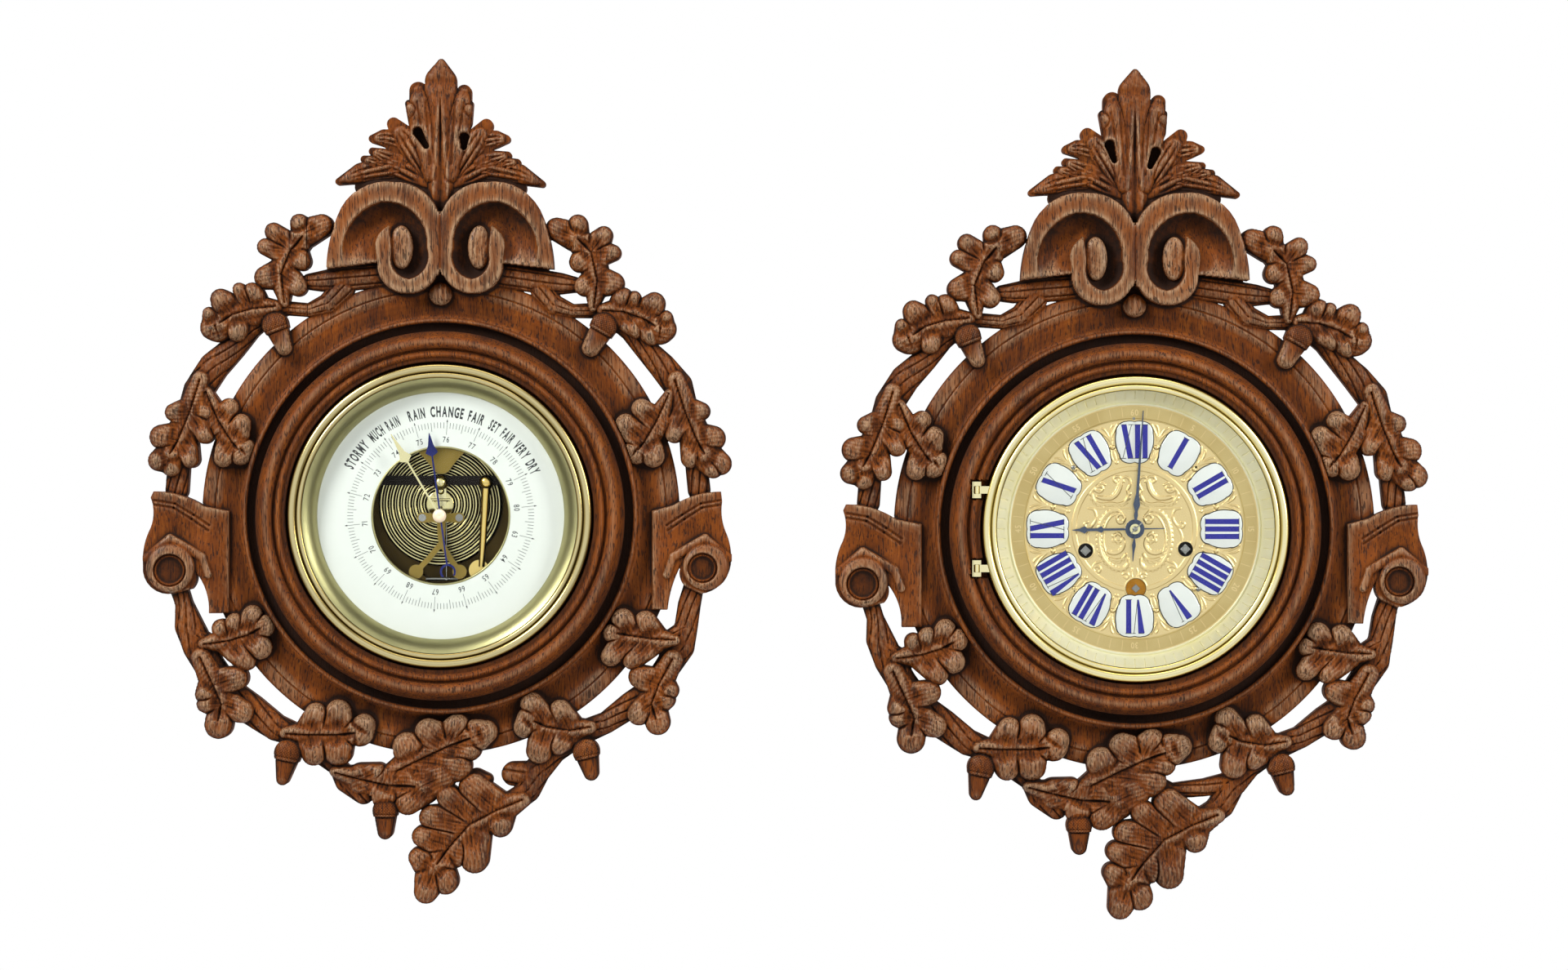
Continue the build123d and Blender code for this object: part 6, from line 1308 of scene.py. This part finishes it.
PLATE = 1.25
LEAF_SPACING = 2.6
BORDER = 44.5
dial_front = Relief(80.8, -80.8, 80.8, 0.36)
X, Z = dial_front.X, dial_front.Z
reach = np.hypot(X, Z)
bearing = np.arctan2(X, Z)
dial_front.edge = reach - 80.6
dial_front.height = PLATE + 0.05 * np.sin(2.9 * X + np.sin(2.3 * Z)) * np.sin(3.1 * Z + np.sin(1.9 * X))
SPIRALS = (
    # upper scroll, from its curl down and in under the middle
    (((26.6, 31.2), (24.2, 31.4), (23.6, 28.8), (26.2, 27.2), (29.4, 29.0), (29.4, 32.0), (26.0, 34.2), (21.6, 32.4)),
     1.0, 0.75),
    (((29.4, 32.0), (31.6, 26.4), (29.6, 20.8), (24.6, 18.2), (17.8, 18.9), (12.0, 18.3), (7.0, 20.2), (4.6, 24.6),
      (5.4, 28.6)), 1.1, 0.8),
    (((27.2, 23.6), (22.2, 22.6), (17.4, 22.6), (13.4, 25.4), (10.8, 30.2), (9.8, 35.6)), 1.5, 0.85),
    (((9.8, 35.6), (11.2, 38.4), (14.2, 38.2), (15.2, 35.8), (13.4, 34.2)), 0.9, 0.7),
    (((5.4, 28.6), (3.4, 32.4), (3.8, 36.6), (6.6, 38.4), (9.0, 36.8), (8.0, 34.6)), 0.9, 0.7),
    # straight line and bracket
    (((2.4, 15.4), (11.6, 15.2), (22.0, 15.2), (33.8, 15.2)), 0.55, 0.5),
    (((33.8, 15.2), (30.2, 14.4), (28.4, 10.6), (28.6, 6.6), (31.4, 2.4), (35.4, 1.2), (36.6, 4.0), (34.2, 5.2)),
     0.9, 0.6),
    # middle volute and the big C
    (((11.2, 6.0), (9.0, 5.4), (7.4, 7.6), (8.4, 10.2), (11.4, 10.6), (13.0, 8.0), (11.6, 4.8), (8.6, 4.4)),
     1.0, 0.75),
    (((8.4, 10.2), (12.4, 13.6), (18.0, 12.8), (22.6, 8.4), (25.4, 1.6), (26.4, -6.8), (25.2, -16.0), (21.0, -24.2),
      (14.6, -29.2), (8.6, -29.6), (5.0, -26.2), (4.6, -21.6)), 1.2, 0.85),
    (((11.4, 10.6), (16.4, 9.6), (20.2, 4.8), (22.6, -2.6), (22.8, -11.0), (20.6, -18.6)), 0.7, 0.6),
    # inner leafage
    (((9.8, -5.2), (12.2, -3.2), (14.8, -5.4), (14.2, -8.6), (10.8, -9.4), (8.4, -7.0)), 1.0, 0.75),
    (((8.4, -7.0), (7.8, -12.0), (10.4, -16.4), (15.2, -18.2), (20.0, -16.8)), 1.1, 0.75),
    (((6.4, -18.4), (9.0, -21.8), (13.4, -23.0), (18.8, -21.4)), 1.1, 0.75),
    # lower volute, and the foot at the middle
    (((29.4, -28.4), (27.4, -27.2), (25.2, -28.8), (26.0, -31.6), (29.2, -31.8), (30.6, -28.6), (28.6, -25.2),
      (24.8, -23.8)), 0.9, 0.65),
    (((31.4, 2.4), (34.6, -4.0), (34.8, -9.0)), 0.8, 0.5),
    (((8.0, -35.0), (5.4, -36.4), (4.6, -33.6), (6.6, -32.2), (8.8, -33.6)), 0.8, 0.6),
    (((1.6, -29.0), (2.2, -32.0), (1.8, -35.6)), 0.6, 0.5),
)
LEAFED = ((1, 3.6, 1), (2, 4.6, -1), (8, 4.0, -1), (8, 3.2, 1), (11, 4.2, 1), (12, 3.6, -1), (10, 2.6, 1))
for turn in (-1, 1):
    for points, width, rise in SPIRALS:
        emboss(dial_front, [(turn * x, z) for x, z in points], width, rise, cleft=0.22)
    for number, size, side in LEAFED:
        leafy(dial_front, [(turn * x, z) for x, z in SPIRALS[number][0]], size, side * turn)
# raised border round the middle, with sloped sides
band = np.clip((np.abs(reach - BORDER) - 1.5) / 0.3, 0, 1)
dial_front.height = np.where(np.abs(reach - BORDER) < 1.9, PLATE + 0.5 * (1 - band), dial_front.height)
# between each two cartouches: four beads and pods in a row, with three ribs on each side
for index in range(12):
    lean = radians(HOUR * (index + 0.5))
    across = X * cos(lean) - Z * sin(lean)
    out = X * sin(lean) + Z * cos(lean)
    for r, wide, tall, rise in ((50.6, 1.3, 1.3, 0.6), (56.0, 1.0, 4.2, 0.35), (62.2, 2.0, 1.7, 1.0),
                                (66.2, 1.1, 2.4, 0.35)):
        size = np.hypot(across / wide, (out - r) / tall)
        top = PLATE + rise * np.sqrt(np.clip(1 - size ** 2, 0, 1))
        dial_front.height = np.where(size < 1, np.maximum(dial_front.height, top), dial_front.height)
    for side in (-1, 1):
        for points, width in ((((0.6, 67.0), (2.0, 70.4), (5.0, 74.4), (8.0, 77.4), (9.6, 76.4)), 0.7),
                              (((0.3, 68.0), (1.0, 72.0), (2.6, 76.2), (4.6, 78.2)), 0.65),
                              (((2.2, 52.4), (2.6, 56.6), (2.0, 60.2)), 0.5)):
            emboss(dial_front, [(side * a * cos(lean) + b * sin(lean), -side * a * sin(lean) + b * cos(lean))
                                for a, b in points], width, 0.55)
HOLES = ((0, 0, 6.0), (*STRIKE_HOLE, KEYHOLE_RADIUS), (*TIME_HOLE, KEYHOLE_RADIUS), (*REGULATOR_HOLE, 7.6),
         (45.3, 45.6, 0.9), (-43.9, -45.7, 0.9))
for x, z, r in HOLES:
    dial_front.edge = np.maximum(dial_front.edge, r - np.hypot(X - x, Z - z))
    rim = np.hypot(X - x, Z - z) - r
    dial_front.height = np.where((rim < 0.9) & (rim > -1), PLATE + 0.35, dial_front.height)
dial_front.shade = np.full_like(X, 0.5)
dial_front.piece("clock_dial_embossed", clock, CLOCK_LEDGE, CLOCK_LEDGE + 0.9, -999, 999, GILT, "cases", "gilt_dial")

CARTOUCHE = section((0, 49.5), ((3.4, 48.7), (6.6, 49.3)), ((9.4, 51.2), (10.6, 54.4)), ((13.6, 63.5), (13.3, 70.5)),
                    ((11.2, 76.6), (6.0, 78.9)), ((3.0, 79.2), (0, 78.7)))
CARTOUCHE += [(-a, r) for a, r in CARTOUCHE[-2:0:-1]]
SHADOW_LINE = [(a * 1.05, 64 + (r - 64) * 1.037) for a, r in CARTOUCHE]
plates = [[placed(point, HOUR * index) for point in CARTOUCHE] for index in range(12)]
lines = [[placed(point, HOUR * index) for point in SHADOW_LINE] for index in range(12)]
CARTOUCHE_BACK = 77.1
plate("clock_cartouche_enamel", clock, plates, CARTOUCHE_BACK, 78.9, ENAMEL, "cases", bevel=0.7, apart=True,
      replaces="clock_hour_cartouches")
# painted shadow: a black line round each raised cartouche
plate("clock_cartouche_shadow_lines", clock, lines, CARTOUCHE_BACK, 77.75, PAINTED_SHADE_BLACK, "cases", apart=True)

# Heights just over the enamel and the minute ring, and the numerals' ends and widths
ON_ENAMEL = 78.96
ON_RING = 77.42
FOOT, HEAD = 52.0, 76.8
STROKE, HAIR = 3.9, 0.46
ADVANCE = {"I": 5.5, "V": 8.8, "X": 9.8}
NUMERALS = ("XII", "I", "II", "III", "IIII", "V", "VI", "VII", "VIII", "IX", "X", "XI")
thick, thin = [], []
for hour, numeral in enumerate(NUMERALS):
    a = -sum(ADVANCE[letter] for letter in numeral) / 2

    def along(b, r):
        return placed((b, r), HOUR * hour)

    for letter in numeral:
        middle = a + ADVANCE[letter] / 2
        if letter == "I":
            thick.append((along(middle, FOOT), along(middle, HEAD), STROKE * 0.95, STROKE))
            thin += [(along(middle - 2.4, r), along(middle + 2.4, r), HAIR, HAIR) for r in (FOOT, HEAD)]
        elif letter == "V":
            thick.append((along(middle + 0.3, FOOT), along(middle - 2.3, HEAD), 1.4, 1.2 * STROKE))
            thin += [(along(middle + 0.6, FOOT), along(middle + 3.2, HEAD), HAIR, HAIR),
                     (along(middle - 4.2, HEAD), along(middle - 0.4, HEAD), HAIR, HAIR),
                     (along(middle + 2.0, HEAD), along(middle + 4.4, HEAD), HAIR, HAIR)]
        else:
            thick.append((along(middle + 2.5, FOOT), along(middle - 2.5, HEAD), STROKE, STROKE))
            thin += [(along(middle - 3.2, FOOT), along(middle + 3.2, HEAD), HAIR, HAIR)]
            thin += [(along(middle + s - 1.9, r), along(middle + s + 1.9, r), HAIR, HAIR)
                     for s in (-2.8, 2.8) for r in (FOOT, HEAD)]
        a += ADVANCE[letter]
bars("clock_numerals", clock, thick, ON_ENAMEL, NUMERAL_BLUE, "cases")
bars("clock_numeral_hairlines", clock, thin, ON_ENAMEL + 0.02, INK, "cases")

revolve("clock_minute_ring", clock, section((80.4, 76.4), (80.4, 77.5), (81.2, 77.7), (81.6, 77.35), (90.4, 77.35),
                                            (90.7, 77.0), (93.2, 77.0), (93.2, 76.4)),
        GILT_RING, "cases", 240)
marks = [(polar(82.4, 6 * index), polar(89.6, 6 * index), 0.34, 0.34) for index in range(60) if index % 5]
bars("clock_minute_marks", clock, marks, ON_RING, GILT, "cases")
for index in range(12):
    number = 5 * index or 60
    lettering(f"clock_minute_number_{number}", clock, str(number), 83.6, HOUR * index, 4.6, 0.85, 0.2,
              ON_RING, GILT, "cases", 0.01)
for name, x, z in (("left", -45.1, 45.3), ("right", 47.0, -44.4)):
    head = Unit("screw", clock.x + x, clock.z + z, 0)
    revolve(f"clock_dial_screw_{name}", head,
            section((0.01, 77.2), (1.7, 77.2), (1.7, 78.2), ((1.0, 78.7), (0.01, 78.9))),
            STEEL, "cases", 32)
    # painted shade: a black bar for the slot
    bars(f"clock_dial_screw_slot_{name}", head, [((-1.3, -0.7), (1.3, 0.7), 0.4, 0.4)], 78.92, PAINTED_SHADE_BLACK, "cases")
revolve("clock_top_pin", Unit("pin", clock.x - 0.5, clock.z + 81.3, 0),
        section((0.01, 77.2), (1.1, 77.2), (1.1, 77.9), ((0.7, 78.3), (0.01, 78.4))), STEEL, "cases", 24)
# painted shade: dark brown wells behind the winding holes
for name, (x, z) in (("strike", STRIKE_HOLE), ("time", TIME_HOLE)):
    revolve(f"clock_winding_well_{name}", Unit("well", clock.x + x, clock.z + z, 0),
            [(3.1, 68.0), (5.45, 68.0), (5.45, 77.5), (5.6, 77.5), (5.6, 67.4), (3.1, 67.4)],
            WELL_SHADE, "cases", 48)


def squared(name, hole, size, lean, w, body):
    """The bright end of a key square."""
    x, z = hole
    corners = [placed((a * size / 2, b * size / 2), lean) for a, b in ((-1, -1), (1, -1), (1, 1), (-1, 1))]
    plate(name, Unit("square", clock.x + x, clock.z + z, 0), [corners], w, w + 0.5, STEEL, body, bevel=0.3)


squared("clock_strike_square", STRIKE_HOLE, 3.9, 38, 75.9, "strike_winding")
squared("clock_time_square", TIME_HOLE, 3.9, 4, 75.9, "time_winding")
squared("clock_regulator_square", REGULATOR_HOLE, 4.6, 45, 77.1, "regulator")

# The hands are the CAD's own. Their centre pin and taper pin are added.
revolve("clock_centre_pin", clock,
        section((0.01, 83.6), (2.0, 83.6), (2.0, 84.6), ((1.3, 85.2), (0.01, 85.4))),
        STEEL, "minute_train", 32)
bars("clock_taper_pin", clock, [((-3.2, -3.4), (5.2, 4.9), 0.6, 1.0)], 85.5, STEEL, "minute_train")


# Finishes of the CAD's own pieces that stay in view
NODE_FINISHES = (
    (CASE_OAK, "barometer_back_frame clock_case clock_back_door"),
    (GLASS, "clock_glass barometer_glass"),
    (GILT, "clock_dial"),
    (BRASS_DULL, "barometer_hanging_plate clock_hanging_plate clock_back_plate clock_front_plate"),
    (BRASS_DULL, "barometer_fan_bracket barometer_bridge"),
    (BRASS_SHADE, "barometer_drum barometer_base_plate"),
    (BRASS, "barometer_beam_nut barometer_set_hand clock_bezel_hinge clock_bell clock_centre_wheel"),
    (BRASS, "clock_third_wheel clock_hour_wheel clock_minute_wheel clock_strike_wheel clock_escape_wheel"),
    (BRASS, "clock_time_barrel clock_strike_barrel clock_pendulum clock_hand_collet clock_hammer"),
    (BRASS, "clock_cannon_pinion"),
    (GOLDEN, "barometer_side_lever"),
    (STEEL, "barometer_bridge_screws barometer_rocker barometer_chain clock_anchor"),
    (STEEL, "clock_time_winding_arbor clock_strike_winding_arbor barometer_pointer_arbor"),
    (BLUED, "barometer_pressure_hand"),
    (BLUE_GREY, "clock_hour_hand clock_minute_hand"),
    (DARK_STEEL, "barometer_beam_spring"),
    (COPPERY, "clock_regulator"),
)
for material, names in NODE_FINISHES:
    finish_nodes(material, names.split())


# Floor, light and camera

bpy.ops.mesh.primitive_plane_add(size=10, location=(-0.25, 0, -1.3))
floor = bpy.context.object
floor.name = "floor"
pale, tree, shader = new_material("floor_pale")
shader.inputs["Base Color"].default_value = (0.86, 0.86, 0.86, 1)
shader.inputs["Roughness"].default_value = 0.8
floor.data.materials.append(pale)
floor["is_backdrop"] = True

world = bpy.data.worlds.new("studio")
bpy.context.scene.world = world
world.use_nodes = True
tree = world.node_tree
background = tree.nodes["Background"]
ray = node(tree, "ShaderNodeLightPath")
seen = math(tree, "MAXIMUM", ray.outputs["Is Camera Ray"], ray.outputs["Is Transmission Ray"])
seen = math(tree, "MAXIMUM", seen, ray.outputs["Is Glossy Ray"])
facing = node(tree, "ShaderNodeSeparateXYZ", {0: node(tree, "ShaderNodeTexCoord").outputs["Generated"]}).outputs[2]
room = ramp(tree, math(tree, "ADD", math(tree, "MULTIPLY", facing, 0.5), 0.5), (0.0, (0.20, 0.19, 0.18)),
            (0.5, (0.30, 0.30, 0.30)), (1.0, (0.50, 0.50, 0.50)))
tree.links.new(mix(tree, seen, room, (1, 1, 1, 1)), background.inputs["Color"])
background.inputs["Strength"].default_value = 1.0


def area_light(name, place, target, size, power):
    data = bpy.data.lights.new(name, "AREA")
    data.shape = "RECTANGLE"
    data.size, data.size_y = size
    data.energy = power
    lamp = bpy.data.objects.new(name, data)
    bpy.context.scene.collection.objects.link(lamp)
    lamp.location = place
    lamp.rotation_mode = "QUATERNION"
    lamp.rotation_quaternion = (Vector(target) - Vector(place)).to_track_quat("-Z", "Y")


area_light("key_left", (-2.3, -1.7, 1.6), (-0.26, 0, -0.05), (0.9, 1.3), 92)
area_light("key_right", (2.0, -1.6, 0.8), (-0.26, 0, -0.05), (0.8, 1.3), 50)
area_light("top", (-0.26, -1.0, 2.1), (-0.26, 0, 0), (2.0, 0.7), 20)

camera_data = bpy.data.cameras.new("camera")
camera = bpy.data.objects.new("camera", camera_data)
bpy.context.scene.collection.objects.link(camera)
bpy.context.scene.camera = camera
# The picture spans 1.152 m across at the carving's front
DISTANCE = 4.2
CARVING_FRONT = 0.085
SPAN = 1.152
SENSOR = 36.0
camera_data.sensor_width = SENSOR
camera_data.lens = SENSOR * (DISTANCE - CARVING_FRONT) / SPAN
camera_data.clip_start, camera_data.clip_end = 0.1, 50
camera.location = (-0.258, -DISTANCE, -0.0796)
camera.rotation_euler = (pi / 2, 0, 0)
bpy.context.scene.view_settings.view_transform = "Standard"

low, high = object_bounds()
